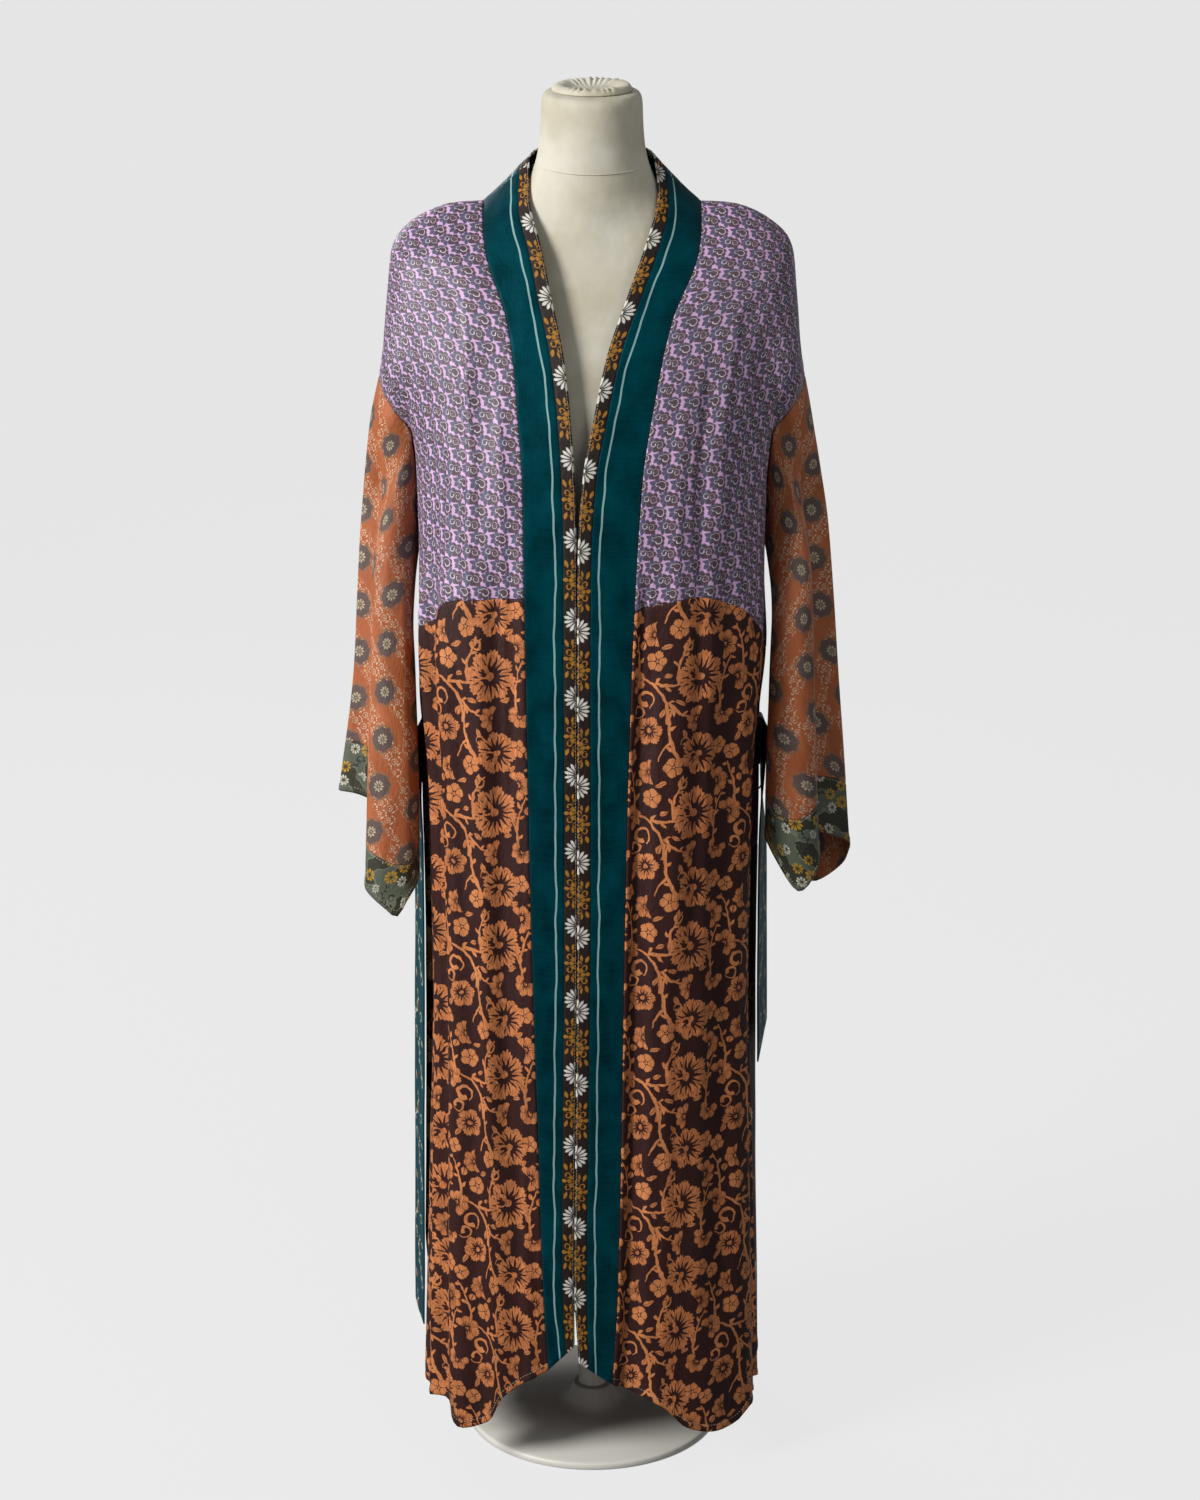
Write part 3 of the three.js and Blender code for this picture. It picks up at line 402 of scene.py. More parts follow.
def front_point(side, u, row):
    """u runs from the band seam to the side, row from the shoulder (0) to the waist (1) and hem (2)."""
    sign = -1 if side == "left" else 1
    waist_side, hem_side = WAIST[side]("z", 1), HEM[side]("z", 1)
    waist = WAIST[side]("z", u)
    z = mix(RIDGE("z", u), waist, row) if row < 1 else mix(waist, HEM[side]("z", u), row - 1)

    def plain(across, height):
        half, ahead, square = BODY("half", height), BODY("ahead", height), body_square(height)
        seam = min(BAND[side]("outer", height), half * 0.995)
        start = math.atan2(seam, ahead * (1 - (seam / half) ** square) ** (1 / square))
        x, y = superellipse(half, ahead, square, mix(start, math.pi / 2, across))
        fall = (RIDGE("z", across) - height) / SHOULDER_FALL("fall", across)
        push = fold_depth(FOLDS[side], across, height)
        push += fold_depth(CREASES[side], across, height, CREASE_FADE)
        turn = math.atan2(x, y)
        return (
            mix(RIDGE("x", across), x, smooth(fall)) + push * math.sin(turn) * roll(fall),
            -(y + push * math.cos(turn)) * roll(fall),
            height,
        )

    armhole = ARMHOLE_ROW["front"]
    side_z = mix(UNDERARM, waist_side, clamp((row - armhole) / (1 - armhole)))
    if row >= 1:
        side_z = mix(waist_side, hem_side, row - 1)
    edge = side_edge("front", row / armhole, side_z)
    free = plain(1, mix(RIDGE("z", 1), waist_side, row) if row < 1 else side_z)
    pull = smooth((u - SIDE_PULL["front"]) / (1 - SIDE_PULL["front"]))
    x, y, z = (v + pull * (e - f) for v, e, f in zip(plain(u, z), edge, free))
    return Vector((sign * x, y, z))


def steps(count, power=1.0):
    return [(i / count) ** power for i in range(count + 1)]


def cells(length, power=1.0):
    """Steps from 0 to 1 along this many mm of cloth."""
    return steps(round(length / CELL), power)


# A seam draws the cloth in along its line, and a narrow hem is turned up twice and sewn
SEAM = {"reach": 1.3, "dip": -0.45, "pucker": 0.35, "pucker_size": 4.5, "pucker_reach": 9}
HEM_TURN = {"width": 7, "thick": 0.7, "slope": 1.2}


def edge_lift(kind, away, point):
    """How far a seam draws the cloth in and puckers it, or a turned hem stands out, this far from
    the border."""
    if kind == "seam":
        pucker = SEAM["pucker"] * noise.noise(point / SEAM["pucker_size"])
        pucker *= math.exp(-away / SEAM["pucker_reach"])
        return SEAM["dip"] * math.exp(-((away / SEAM["reach"]) ** 2)) + pucker
    if kind == "hem":
        return HEM_TURN["thick"] * (1 - smooth((away - HEM_TURN["width"]) / HEM_TURN["slope"]))
    return 0


def close_steps(values, edges):
    """More rows or columns beside a border that has a seam or a hem."""
    near = {"seam": (0.25, 0.55), "hem": (0.5,)}
    first = [mix(values[0], values[1], t) for t in near.get(edges[0], ())]
    last = [mix(values[-2], values[-1], 1 - t) for t in reversed(near.get(edges[1], ()))]
    return [values[0], *first, *values[1:-1], *last, values[-1]]


# Width, height and depth of the broad and the fine unevenness of a hanging light cloth
CRUMPLE = ((38, 150, 0.8), (13, 60, 0.3))


def crumple(point, size=1.0):
    """Small soft unevenness of the cloth at a point, longer down than across."""
    lift = 0
    for layer, (wide, high, deep) in enumerate(CRUMPLE):
        lift += deep * noise.noise(Vector((point.x / wide, point.y / wide, point.z / high + 7 * layer)))
    return size * lift


LAID = {}  # the places and normals of each piece's outer face, by rows of points


def cloth(
    name, columns, rows, point, flip, across=("seam", "seam"), down=("seam", "seam"), thickness=CLOTH,
    relief=crumple, around=False, anchor=0, hand=1, from_last=False, offset=0, sideways=False,
):
    """A sheet of cloth through point(column, row), with what its borders across and down are. A tube
    is closed around. Its UV map holds the flat cloth in mm, so that prints follow the cloth: across
    from the first column or the last, towards the right or with hand -1 the left, and up from the
    height of the first row, or with anchor 1 the last. Sideways, the prints run along the rows."""
    columns, rows = close_steps(columns, across), close_steps(rows, down)
    base = [[point(column, row) for column in columns] for row in rows]
    wide, high = len(columns), len(rows)
    over = [[0.0] * wide for _ in rows]
    under = [[0.0] * wide for _ in rows]
    for j in range(high):
        for i in range(wide):
            if i:
                over[j][i] = over[j][i - 1] + (base[j][i] - base[j][i - 1]).length
            if j:
                under[j][i] = under[j - 1][i] + (base[j][i] - base[j - 1][i]).length
    grid = bmesh.new()
    bmesh.ops.create_grid(grid, x_segments=wide - 1, y_segments=high - 1, size=1)
    flat = grid.loops.layers.uv.new("cloth")
    places = {}
    laid = [[None] * wide for _ in rows]
    for v in grid.verts:
        i = round((v.co.x + 1) / 2 * (wide - 1))
        j = round((1 - v.co.y) / 2 * (high - 1))
        places[v] = i, j
        side = base[j][min(i + 1, wide - 1)] - base[j][max(i - 1, 0)]
        fall = base[min(j + 1, high - 1)][i] - base[max(j - 1, 0)][i]
        normal = side.cross(fall).normalized() * (-1 if flip else 1)
        here = base[j][i]
        lift = relief(here)
        to_last, to_foot = over[j][-1] - over[j][i], under[-1][i] - under[j][i]
        lift += edge_lift(across[0], over[j][i], here) + edge_lift(across[1], to_last, here)
        lift += edge_lift(down[0], under[j][i], here) + edge_lift(down[1], to_foot, here)
        v.co = (here + normal * lift) * MM
        laid[j][i] = here + normal * lift, normal
    if not flip:
        bmesh.ops.reverse_faces(grid, faces=grid.faces)
    last = high - 1 if anchor else 0
    for face in grid.faces:
        for loop in face.loops:
            i, j = places[loop.vert]
            if sideways:
                loop[flat].uv = under[j][i] - under[last][i], over[j][i]
            else:
                start = over[j][-1] if from_last else 0
                level = base[last][i].z - under[j][i] + under[last][i] + offset
                loop[flat].uv = hand * (over[j][i] - start), level
    if around:
        bmesh.ops.remove_doubles(grid, verts=grid.verts, dist=0.01 * MM)
    piece = meshed(name, grid)
    wall = piece.modifiers.new("wall", "SOLIDIFY")
    wall.thickness = thickness * MM
    wall.offset = -1
    LAID[name] = laid
    return piece


def worn(piece, node, finish):
    """Gives a piece its cloth, sets it on the root body, and hides the CAD node it stands for."""
    piece.data.materials.append(finish)
    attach(piece, "root")
    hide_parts(node)


TIP = Matrix.Rotation(math.pi / 2, 4, "Y")  # lays a ball's poles along the thread
# Polyester sewing thread, spun and slightly glossy
pale_thread = material("pale sewing thread", Roughness=0.6, Base_Color=linear("B9A88C"))[0]
dark_thread = material("dark sewing thread", Roughness=0.6, Base_Color=linear("3A2A2E"))[0]


def sewn(name, on, border, away, pitch=3.4, size=(2.4, 0.6), colour=pale_thread):
    """A row of straight stitches this far from a border of a piece of cloth. Size is a stitch's
    length and thickness. They lie half sunk in the cloth, each a little askew."""
    laid = LAID[on]
    lines = [list(line) for line in (laid if border in ("first", "last") else zip(*laid))]
    if border in ("last", "bottom"):
        lines = [line[::-1] for line in lines]
    path = []
    for line in lines:
        gone = 0
        for (a, normal), (b, _) in zip(line, line[1:]):
            step = (b - a).length
            if gone + step >= away:
                path.append((a.lerp(b, (away - gone) / step), normal))
                break
            gone += step
    thread_row = bmesh.new()
    gone, number = pitch / 2, 0
    for (a, normal), (b, _) in zip(path, path[1:]):
        step = (b - a).length
        while gone < step:
            along = (b - a).normalized()
            lean = 0.06 * noise.noise(Vector((number * 1.7, away, 3)))
            across = (normal.cross(along) + along * lean).normalized()
            place = Matrix((along, across, normal)).transposed().to_4x4()
            place.translation = (a.lerp(b, gone / step) + across * lean * 3) * MM
            shape = Matrix.Diagonal((size[0] / 2 * MM, size[1] / 2 * MM, size[1] / 2 * MM, 1))
            bmesh.ops.create_uvsphere(
                thread_row, u_segments=6, v_segments=4, radius=1, matrix=place @ shape @ TIP
            )
            gone += pitch
            number += 1
        gone -= step
    row = meshed(name, thread_row)
    row.data.materials.append(colour)
    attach(row, "root")


def printed(name, sheen=0.04, gloss=0.28):
    """A printed cloth: a soft sheen off its fine threads, and less gloss than satin."""
    return material(name, Sheen_Weight=sheen, Sheen_Roughness=0.4, Specular_IOR_Level=gloss)


class Print:
    """A pattern printed on silk. Each motif is a mask, 1 on the motif and 0 off it, about a place in
    a repeat of width x height mm, read from the cloth's flat UV map. Each column of the repeat stands
    higher than the last by drop, and unsteady is how unevenly the printer's block was cut."""

    def __init__(self, tree, width, height, drop=0.0, unsteady=0.6):
        self.tree, self.width, self.height = tree, width, height
        flat = add(tree, "UVMap", uv_map="cloth")
        self.flat = flat
        size = add(tree, "VectorMath", flat, {"Scale": 0.11}, operation="SCALE")
        shake = add(
            tree, "TexNoise", size, {"Scale": 1.0, "Detail": 1.0}, noise_dimensions="2D"
        ).node.outputs["Color"]
        shake = add(tree, "VectorMath", shake, (-0.5, -0.5, -0.5), operation="ADD")
        shake = add(tree, "VectorMath", shake, (4 * unsteady, 4 * unsteady, 0), operation="MULTIPLY")
        self.at = add(tree, "VectorMath", flat, shake, operation="ADD")
        if drop:
            column = add(tree, "FLOOR", add(tree, "DIVIDE", add(tree, "SeparateXYZ", self.at), width))
            shift = add(tree, "CombineXYZ", {"Y": add(tree, "MULTIPLY", column, drop)})
            self.at = add(tree, "VectorMath", self.at, shift, operation="ADD")

    def about(self, x, y, turn=0.0):
        """The place on the cloth seen from a motif's centre: across, up and as a vector."""
        tree = self.tree
        away = add(tree, "VectorMath", self.at, (-x, -y, 0), operation="ADD")
        half = (self.width / 2, self.height / 2, 0)
        away = add(tree, "VectorMath", away, half, tuple(-v for v in half), operation="WRAP")
        if turn:
            away = add(tree, "VectorRotate", away, {"Angle": -math.radians(turn)}, rotation_type="Z_AXIS")
        across = add(tree, "SeparateXYZ", away)
        return across, across.node.outputs["Y"], away

    def inside(self, value, limit, edge=0.5):
        """1 where value is under limit, with a soft edge this many mm wide."""
        short = add(self.tree, "SUBTRACT", limit, value)
        return add(
            self.tree, "MULTIPLY_ADD", short, add(self.tree, "DIVIDE", 1.0, edge), 0.5, use_clamp=True
        )

    def both(self, *masks):
        first = masks[0]
        for other in masks[1:]:
            first = add(self.tree, "MULTIPLY", first, other)
        return first

    def any(self, *masks):
        first = masks[0]
        for other in masks[1:]:
            first = add(self.tree, "MAXIMUM", first, other)
        return first

    def less(self, mask, hole):
        return add(self.tree, "MULTIPLY", mask, add(self.tree, "SUBTRACT", 1.0, hole))

    def disc(self, x, y, radius):
        away = self.about(x, y)[2]
        return self.inside(add(self.tree, "VectorMath", away, operation="LENGTH"), radius)

    def nearest(self, motifs):
        """Of rows of x, y, size, turn and up to three more values, the one nearest for its size.
        Gives this point seen from its centre, as a vector, and then the row's values from size on."""
        tree = self.tree
        chosen = None
        for x, y, size, turn, *more in motifs:
            more = [*more, 0, 0, 0]
            away = self.about(x, y)[2]
            far = add(tree, "DIVIDE", add(tree, "VectorMath", away, operation="LENGTH"), size)
            mine = away, (size, -math.radians(turn), more[0]), (more[1], more[2], 0)
            if chosen is None:
                chosen, least = mine, far
                continue
            nearer = add(tree, "LESS_THAN", far, least)
            chosen = [
                add(tree, "Mix", {"Factor": nearer, "A": old, "B": new}, data_type="VECTOR")
                for old, new in zip(chosen, mine)
            ]
            least = add(tree, "MINIMUM", far, least)
        first, second = (add(tree, "SeparateXYZ", values).node.outputs for values in chosen[1:])
        away = add(tree, "VectorRotate", chosen[0], {"Angle": first["Y"]}, rotation_type="Z_AXIS")
        return away, first["X"], first["Z"], second["X"], second["Y"]

    def flowers(self, *motifs, spikes=3.0, gap=0.3, eye=0.14, point=0.6):
        """Scalloped petals round a spiky dark heart with a small eye. Rows of x, y, radius, turn,
        petals, the heart's share of the radius, and how far round it is open in degrees."""
        tree = self.tree
        away, radius, petals, heart, open_to = self.nearest(motifs)
        across = add(tree, "SeparateXYZ", away)
        self.out = out = add(tree, "DIVIDE", add(tree, "VectorMath", away, operation="LENGTH"), radius)
        angle = add(tree, "ARCTAN2", across.node.outputs["Y"], across)
        turns = add(tree, "MULTIPLY", angle, petals)
        lobe = add(tree, "ABSOLUTE", add(tree, "COSINE", add(tree, "MULTIPLY", turns, 0.5)))
        frill = add(
            tree, "MULTIPLY_ADD", add(tree, "COSINE", add(tree, "MULTIPLY", turns, 5.0)), 0.04, 0.72
        )
        rim = add(tree, "MULTIPLY_ADD", add(tree, "POWER", lobe, point), 0.26, frill)
        spike = add(tree, "PINGPONG", add(tree, "MULTIPLY", turns, spikes / math.tau), 0.5)
        long = add(tree, "MULTIPLY_ADD", add(tree, "MULTIPLY", spike, spike), 3.2, 0.6)
        between = add(
            tree, "MULTIPLY", add(tree, "MULTIPLY", lobe, out), add(tree, "DIVIDE", 2.0, petals)
        )
        soft = add(tree, "DIVIDE", 0.5, radius)
        mask = self.less(
            self.inside(out, rim, soft), self.inside(out, add(tree, "MULTIPLY", long, heart), soft)
        )
        mask = self.less(mask, self.inside(between, add(tree, "DIVIDE", gap, radius), soft))
        mask = self.any(mask, self.inside(out, eye, soft))
        opened = add(tree, "MULTIPLY", open_to, math.pi / 180)
        return self.both(mask, self.inside(add(tree, "ABSOLUTE", angle), opened, 0.05))

    def leaves(self, *motifs, vein=0.05):
        """Pointed leaves, with a fine vein along them. Rows of x, y, length, turn and width."""
        tree = self.tree
        away, length, width = self.nearest(motifs)[:3]
        across = add(tree, "SeparateXYZ", away)
        share = add(tree, "DIVIDE", add(tree, "MULTIPLY", across, 2.0), length)
        full = add(tree, "MULTIPLY_ADD", add(tree, "MULTIPLY", share, share), -0.5, 0.5)
        off = add(tree, "ABSOLUTE", across.node.outputs["Y"])
        mask = self.inside(off, add(tree, "MULTIPLY", full, width))
        if not vein:
            return mask
        return self.less(mask, self.inside(off, add(tree, "MULTIPLY", width, vein), 0.3))

    def curls(self, *motifs):
        """Spirals of one turn that thicken to a round end. Rows of x, y, radius, turn, width and
        which way it winds, 1 or -1."""
        tree = self.tree
        away, radius, width, winds = self.nearest(motifs)[:4]
        across = add(tree, "SeparateXYZ", away)
        out = add(tree, "VectorMath", away, operation="LENGTH")
        angle = add(tree, "ARCTAN2", add(tree, "MULTIPLY", across.node.outputs["Y"], winds), across)
        middle = add(tree, "MULTIPLY", add(tree, "MULTIPLY_ADD", angle, -0.075, 0.72), radius)
        half = add(tree, "MULTIPLY", add(tree, "MULTIPLY_ADD", angle, 0.07, 0.33), width)
        return self.inside(add(tree, "ABSOLUTE", add(tree, "SUBTRACT", out, middle)), half)

    def branch(self, x, y, turn, radius, reach, width, pitch=0.0, leaf=0.0):
        """A bending stem that thins over its reach, with leaves set along it on both sides in turn.
        x, y is its middle, where it runs towards turn. It bends left, or right if radius is below 0."""
        tree = self.tree
        across, up, away = self.about(x, y, turn)
        centre = add(tree, "VectorMath", away, (0, -radius, 0), operation="ADD")
        far = add(tree, "SUBTRACT", abs(radius), add(tree, "VectorMath", centre, operation="LENGTH"))
        down = add(tree, "SUBTRACT", radius, up)
        if radius < 0:
            down = add(tree, "MULTIPLY", down, -1.0)
        along = add(tree, "MULTIPLY", add(tree, "ARCTAN2", across, down), abs(radius))
        length = self.inside(add(tree, "ABSOLUTE", along), reach / 2)
        thin = add(tree, "MULTIPLY_ADD", along, -0.35 * width / reach, 0.4 * width)
        mask = self.inside(add(tree, "ABSOLUTE", far), thin)
        if leaf:
            number = add(tree, "FLOOR", add(tree, "DIVIDE", along, pitch))
            sided = add(tree, "MULTIPLY_ADD", add(tree, "FLOORED_MODULO", number, 2.0), -2.0, 1.0)
            on = add(tree, "MULTIPLY_ADD", add(tree, "ADD", number, 0.5), -pitch, along)
            off = add(tree, "MULTIPLY_ADD", far, sided, -0.42 * leaf)
            forward = add(tree, "ADD", off, on)
            beside = add(tree, "SUBTRACT", off, on)
            share = add(tree, "MULTIPLY", forward, 1.41 / leaf)
            half = add(tree, "MULTIPLY_ADD", add(tree, "MULTIPLY", share, share), -0.3 * leaf, 0.3 * leaf)
            mask = self.any(mask, self.inside(add(tree, "ABSOLUTE", beside), half))
        return self.both(mask, length)

    def ink(self, ground, *colours_and_masks):
        """Colours laid over the ground one after another, each where its mask is 1."""
        under = linear(ground) if isinstance(ground, str) else ground
        for colour, mask in colours_and_masks:
            over = linear(colour) if isinstance(colour, str) else colour
            under = add(self.tree, "Mix", {"Factor": mask, "A": under, "B": over}, data_type="RGBA")
        return under

    def uneven(self, low, high, across, up, detail=2.0):
        """A value that wanders between low and high over patches of this size in mm."""
        size = add(self.tree, "VectorMath", self.flat, (1 / across, 1 / up, 1), operation="MULTIPLY")
        patch = add(self.tree, "TexNoise", size, {"Scale": 1.0, "Detail": detail}, noise_dimensions="2D")
        return add(
            self.tree, "MapRange", patch,
            {"From Min": 0.3, "From Max": 0.7, "To Min": low, "To Max": high},
        )

    def finish(self, colour, wear=0.16, roughness=(0.4, 0.55), weave=1.1, relief=0.12):
        """The cloth's colour with its uneven dye, its sheen and the relief of its weave. weave is
        coarser than the real thread spacing, so that it shows."""
        tree = self.tree
        dye = self.uneven(1 - wear, 1 + wear / 2, 26, 60, 4.0)
        colour = add(
            tree, "Mix", {"Factor": 1.0, "A": colour, "B": dye}, data_type="RGBA", blend_type="MULTIPLY"
        )
        x = add(tree, "SeparateXYZ", self.flat)
        warp = add(tree, "SINE", add(tree, "MULTIPLY", x, math.tau / weave))
        weft = add(tree, "SINE", add(tree, "MULTIPLY", x.node.outputs["Y"], math.tau / weave))
        threads = add(
            tree, "MULTIPLY_ADD", add(tree, "MULTIPLY", warp, weft), 0.5, self.uneven(-1, 1, 3, 7)
        )
        bump = add(tree, "Bump", {"Height": threads, "Strength": 1.0, "Distance": relief * MM})
        gloss = self.uneven(roughness[0], roughness[1], 9, 30)
        finish_with(tree, Base_Color=colour, Roughness=gloss, Normal=bump)


# Lilac silk twill, screen printed: staggered sprigs of a slate rosette and a brown drop with
# white curls drawn on them. The twill gives it a soft gloss.
lilac, tree = printed("printed lilac silk", sheen=0.08, gloss=0.4)
sprig = Print(tree, 21, 27, unsteady=0.5)
rosette = sprig.any(
    sprig.flowers((5.6, 7, 8, 20, 8, 0, 180), (16, 20.6, 7.6, 50, 7, 0, 180), spikes=1, gap=0),
    sprig.leaves(
        (0.4, 9.4, 7, 160, 3.4), (4.2, 13.6, 6, 105, 3.2), (3.4, 0.8, 6.4, 250, 3.2),
        (10.8, 1.2, 5, 300, 2.6), (10.4, 23, 7, 155, 3.4), (14.4, 27, 6, 80, 3.2),
        (19.4, 14.2, 6.4, 285, 3.2), (11.2, 17.4, 6, 205, 3),
        vein=0,
    ),
)
drop = sprig.flowers((11.8, 6.2, 7.4, 0, 6, 0, 180), (20.8, 19.6, 6.8, 30, 6, 0, 180), spikes=1, gap=0)
curl = sprig.curls(
    (6.2, 7.2, 3.5, 210, 0.85, 1), (20.4, 19.8, 5.2, 10, 0.8, -1),
    (12.6, 6, 4.2, 320, 0.45, -1), (15.6, 21, 2.6, 130, 0.55, 1),
)
sprig.finish(
    sprig.ink("D2ABD1", ("56556A", rosette), ("57444A", drop), ("E2DAE6", curl)),
    wear=0.12, roughness=(0.34, 0.5), relief=0.07,
)

# Dark brown crepe silk, block printed in rust: poppies, smaller flowers and buds on branching
# stems, with the grain of the block showing in the petals.
brown, tree = printed("printed brown silk", sheen=0.03, gloss=0.22)
garden = Print(tree, 118, 142, unsteady=0.9)
blooms = garden.flowers(
    (83, 90, 22, 200, 7, 0.62, 180),
    (79, 28, 27, 80, 8, 0.6, 180),
    (26, 115, 15, 10, 6, 0.5, 180),
    (28, 72, 13, 190, 7, 0.36, 105),
    (80, 126, 14, 170, 9, 0.36, 100),
    (107, 58, 15, 20, 7, 0.42, 120),
    (110, 130, 13, 250, 7, 0.4, 125),
    (6, 24, 14, 30, 7, 0.42, 130),
    spikes=2, gap=0.2, eye=0.16,
)
petal_depth = garden.out
buds = garden.flowers(
    (53, 78, 10.5, 40, 5, 0.3, 180),
    (31, 45, 10.5, 75, 5, 0.3, 180),
    (108, 96, 9.5, 0, 5, 0.3, 180),
    (6, 88, 8.5, 70, 4, 0.3, 180),
    spikes=1,
)
stems = garden.any(
    garden.branch(49, 108, 103, -60, 62, 4.2, pitch=21, leaf=8),
    garden.branch(38, 11, 125, 42, 66, 3.8),
    garden.branch(58, 134, -30, 34, 34, 3.0, pitch=11, leaf=7),
    garden.branch(50, 21, 5, 60, 40, 3.2, pitch=12, leaf=9),
    garden.branch(42, 96, 235, 30, 26, 2.6),
    garden.branch(56, 48, 70, -40, 46, 3.0, pitch=12, leaf=8),
    garden.branch(11, 50, 100, 90, 58, 2.8, pitch=11, leaf=8),
    garden.branch(106, 20, 80, -70, 56, 2.8, pitch=11, leaf=8),
    garden.curls(
        (76, 84, 9, 215, 6, 1), (71, 33, 8, 150, 5, -1), (21, 5, 10, 120, 5, 1),
        (63, 60, 6.5, 300, 3.6, -1), (14, 134, 7.5, 30, 3.6, 1), (66, 104, 6, 20, 3, -1),
    ),
)
scraps = garden.leaves(
    (67, 6, 9, 30, 7),
    (16, 60, 9, 70, 7),
    (41, 60, 13, 200, 5),
    (64, 112, 12, 120, 5),
    (12, 104, 12, 60, 5),
    (104, 14, 13, 100, 6),
    (58, 3, 12, 160, 5),
    (100, 74, 10, 40, 5),
    (40, 134, 11, 70, 5),
    (44, 30, 10, 20, 5),
    (94, 3, 11, 20, 5),
    (92, 108, 10, 160, 5),
)
print_mask = garden.any(blooms, buds, stems, scraps)
grain = garden.uneven(0, 1, 1.5, 6, 3.0)
deep = add(tree, "MULTIPLY", grain, add(tree, "MULTIPLY_ADD", petal_depth, -0.45, 1.1, use_clamp=True))
garden.finish(
    garden.ink("361A17", (garden.ink("D98A54", ("9A5230", deep)), print_mask)),
    wear=0.2, roughness=(0.45, 0.6),
)
front_columns = cells(190)
upper_rows = cells(450, 1.2)
lower_rows = [1 + t for t in cells(880)]
for side in ("left", "right"):
    flip = side == "right"
    hand = 1 if flip else -1
    upper = cloth(
        f"front_{side}_lilac", front_columns, upper_rows, lambda u, row: front_point(side, u, row), flip,
        anchor=1, hand=hand,
    )
    worn(upper, f"front_{side}_upper", lilac)
    lower = cloth(
        f"front_{side}_brown", front_columns, lower_rows, lambda u, row: front_point(side, u, row), flip,
        down=("seam", "hem"), hand=hand,
    )
    worn(lower, f"front_{side}_lower", brown)
    sewn(f"hem_stitches_{side}", lower.name, "bottom", 7.5)

# ---------------------------------------------------------------------------------------
# Back: an upper panel of crimson and purple printed silk and a lower one of dark brown silk
# with large cream flowers. Each is one width of cloth, and the seam between them is level.
BACK_SEAM = 650
NECK_SEAM_DEPTH = 76
NECK_SHARE = 0.72


def back_point(s, row):
    """s runs from the left side (-1) to the right (1), row from the top (0) to the seam (1) and hem (2)."""
    out = abs(s)
    sign = -1 if s < 0 else 1
    ridge = clamp((out - NECK_SHARE) / (1 - NECK_SHARE))
    neck = clamp(out / NECK_SHARE) * math.pi / 2
    if out < NECK_SHARE:
        top = (SHOULDER_HALF * math.sin(neck), NECK_SEAM_DEPTH * math.cos(neck), NECK_SEAM_TOP)
    else:
        top = (RIDGE("x", ridge), 0, RIDGE("z", ridge))
    z = mix(top[2], BACK_SEAM, row) if row < 1 else mix(BACK_SEAM, HEM["back"]("z", s), row - 1)

    def plain(at, height, start):
        half, behind, square = BODY("halfBack", height), BODY("behind", height), body_square(height)
        x, y = superellipse(half, behind, square, abs(at) * math.pi / 2)
        u = clamp((abs(at) - NECK_SHARE) / (1 - NECK_SHARE))
        fall = (start[2] - height) / SHOULDER_FALL("fall", u)
        push = fold_depth(FOLDS["back"], at, height)
        push += fold_depth(CREASES["back"], at, height, CREASE_FADE)
        turn = math.atan2(x, y)
        return (
            mix(start[0], x, smooth(fall)) + push * math.sin(turn) * roll(fall),
            mix(start[1], y + push * math.cos(turn), roll(fall)),
            height,
        )

    armhole = ARMHOLE_ROW["back"]
    side_z = mix(UNDERARM, BACK_SEAM, clamp((row - armhole) / (1 - armhole)))
    if row >= 1:
        side_z = mix(BACK_SEAM, HEM["back"]("z", sign), row - 1)
    edge = side_edge("back", row / armhole, side_z)
    shoulder = (RIDGE("x", 1), 0, RIDGE("z", 1))
    free = plain(sign, mix(shoulder[2], BACK_SEAM, row) if row < 1 else side_z, shoulder)
    pull = smooth((out - SIDE_PULL["back"]) / (1 - SIDE_PULL["back"]))
    x, y, z = (v + pull * (e - f) for v, e, f in zip(plain(s, z, top), edge, free))
    return Vector((sign * x, y, z))


# Crimson silk, screen printed with small light blue and pink paisleys set close together
crimson, tree = printed("printed crimson silk")
paisley = Print(tree, 22, 26, drop=13, unsteady=0.35)
body = paisley.flowers((8, 13, 7.2, 0, 9, 0.35, 180), spikes=1)
tip = paisley.curls((11, 19, 5.5, 100, 3.2, 1), (17, 6, 3.8, 250, 1.8, -1))
lace = paisley.any(
    paisley.branch(4, 23, 20, 9, 17, 0.9, pitch=3.4, leaf=3.0),
    paisley.leaves((18, 14, 6, 60, 3), (2, 4, 6, 20, 3)),
)
specks = paisley.any(paisley.disc(14, 11, 0.9), paisley.disc(19, 20, 1.1), paisley.disc(3, 22, 1.2))
paisley.finish(
    paisley.ink("8E2F4E", ("6F7FB4", lace), ("B06A9C", body), ("8FA3CC", tip), ("E0B8C8", specks)),
    roughness=(0.38, 0.52),
)

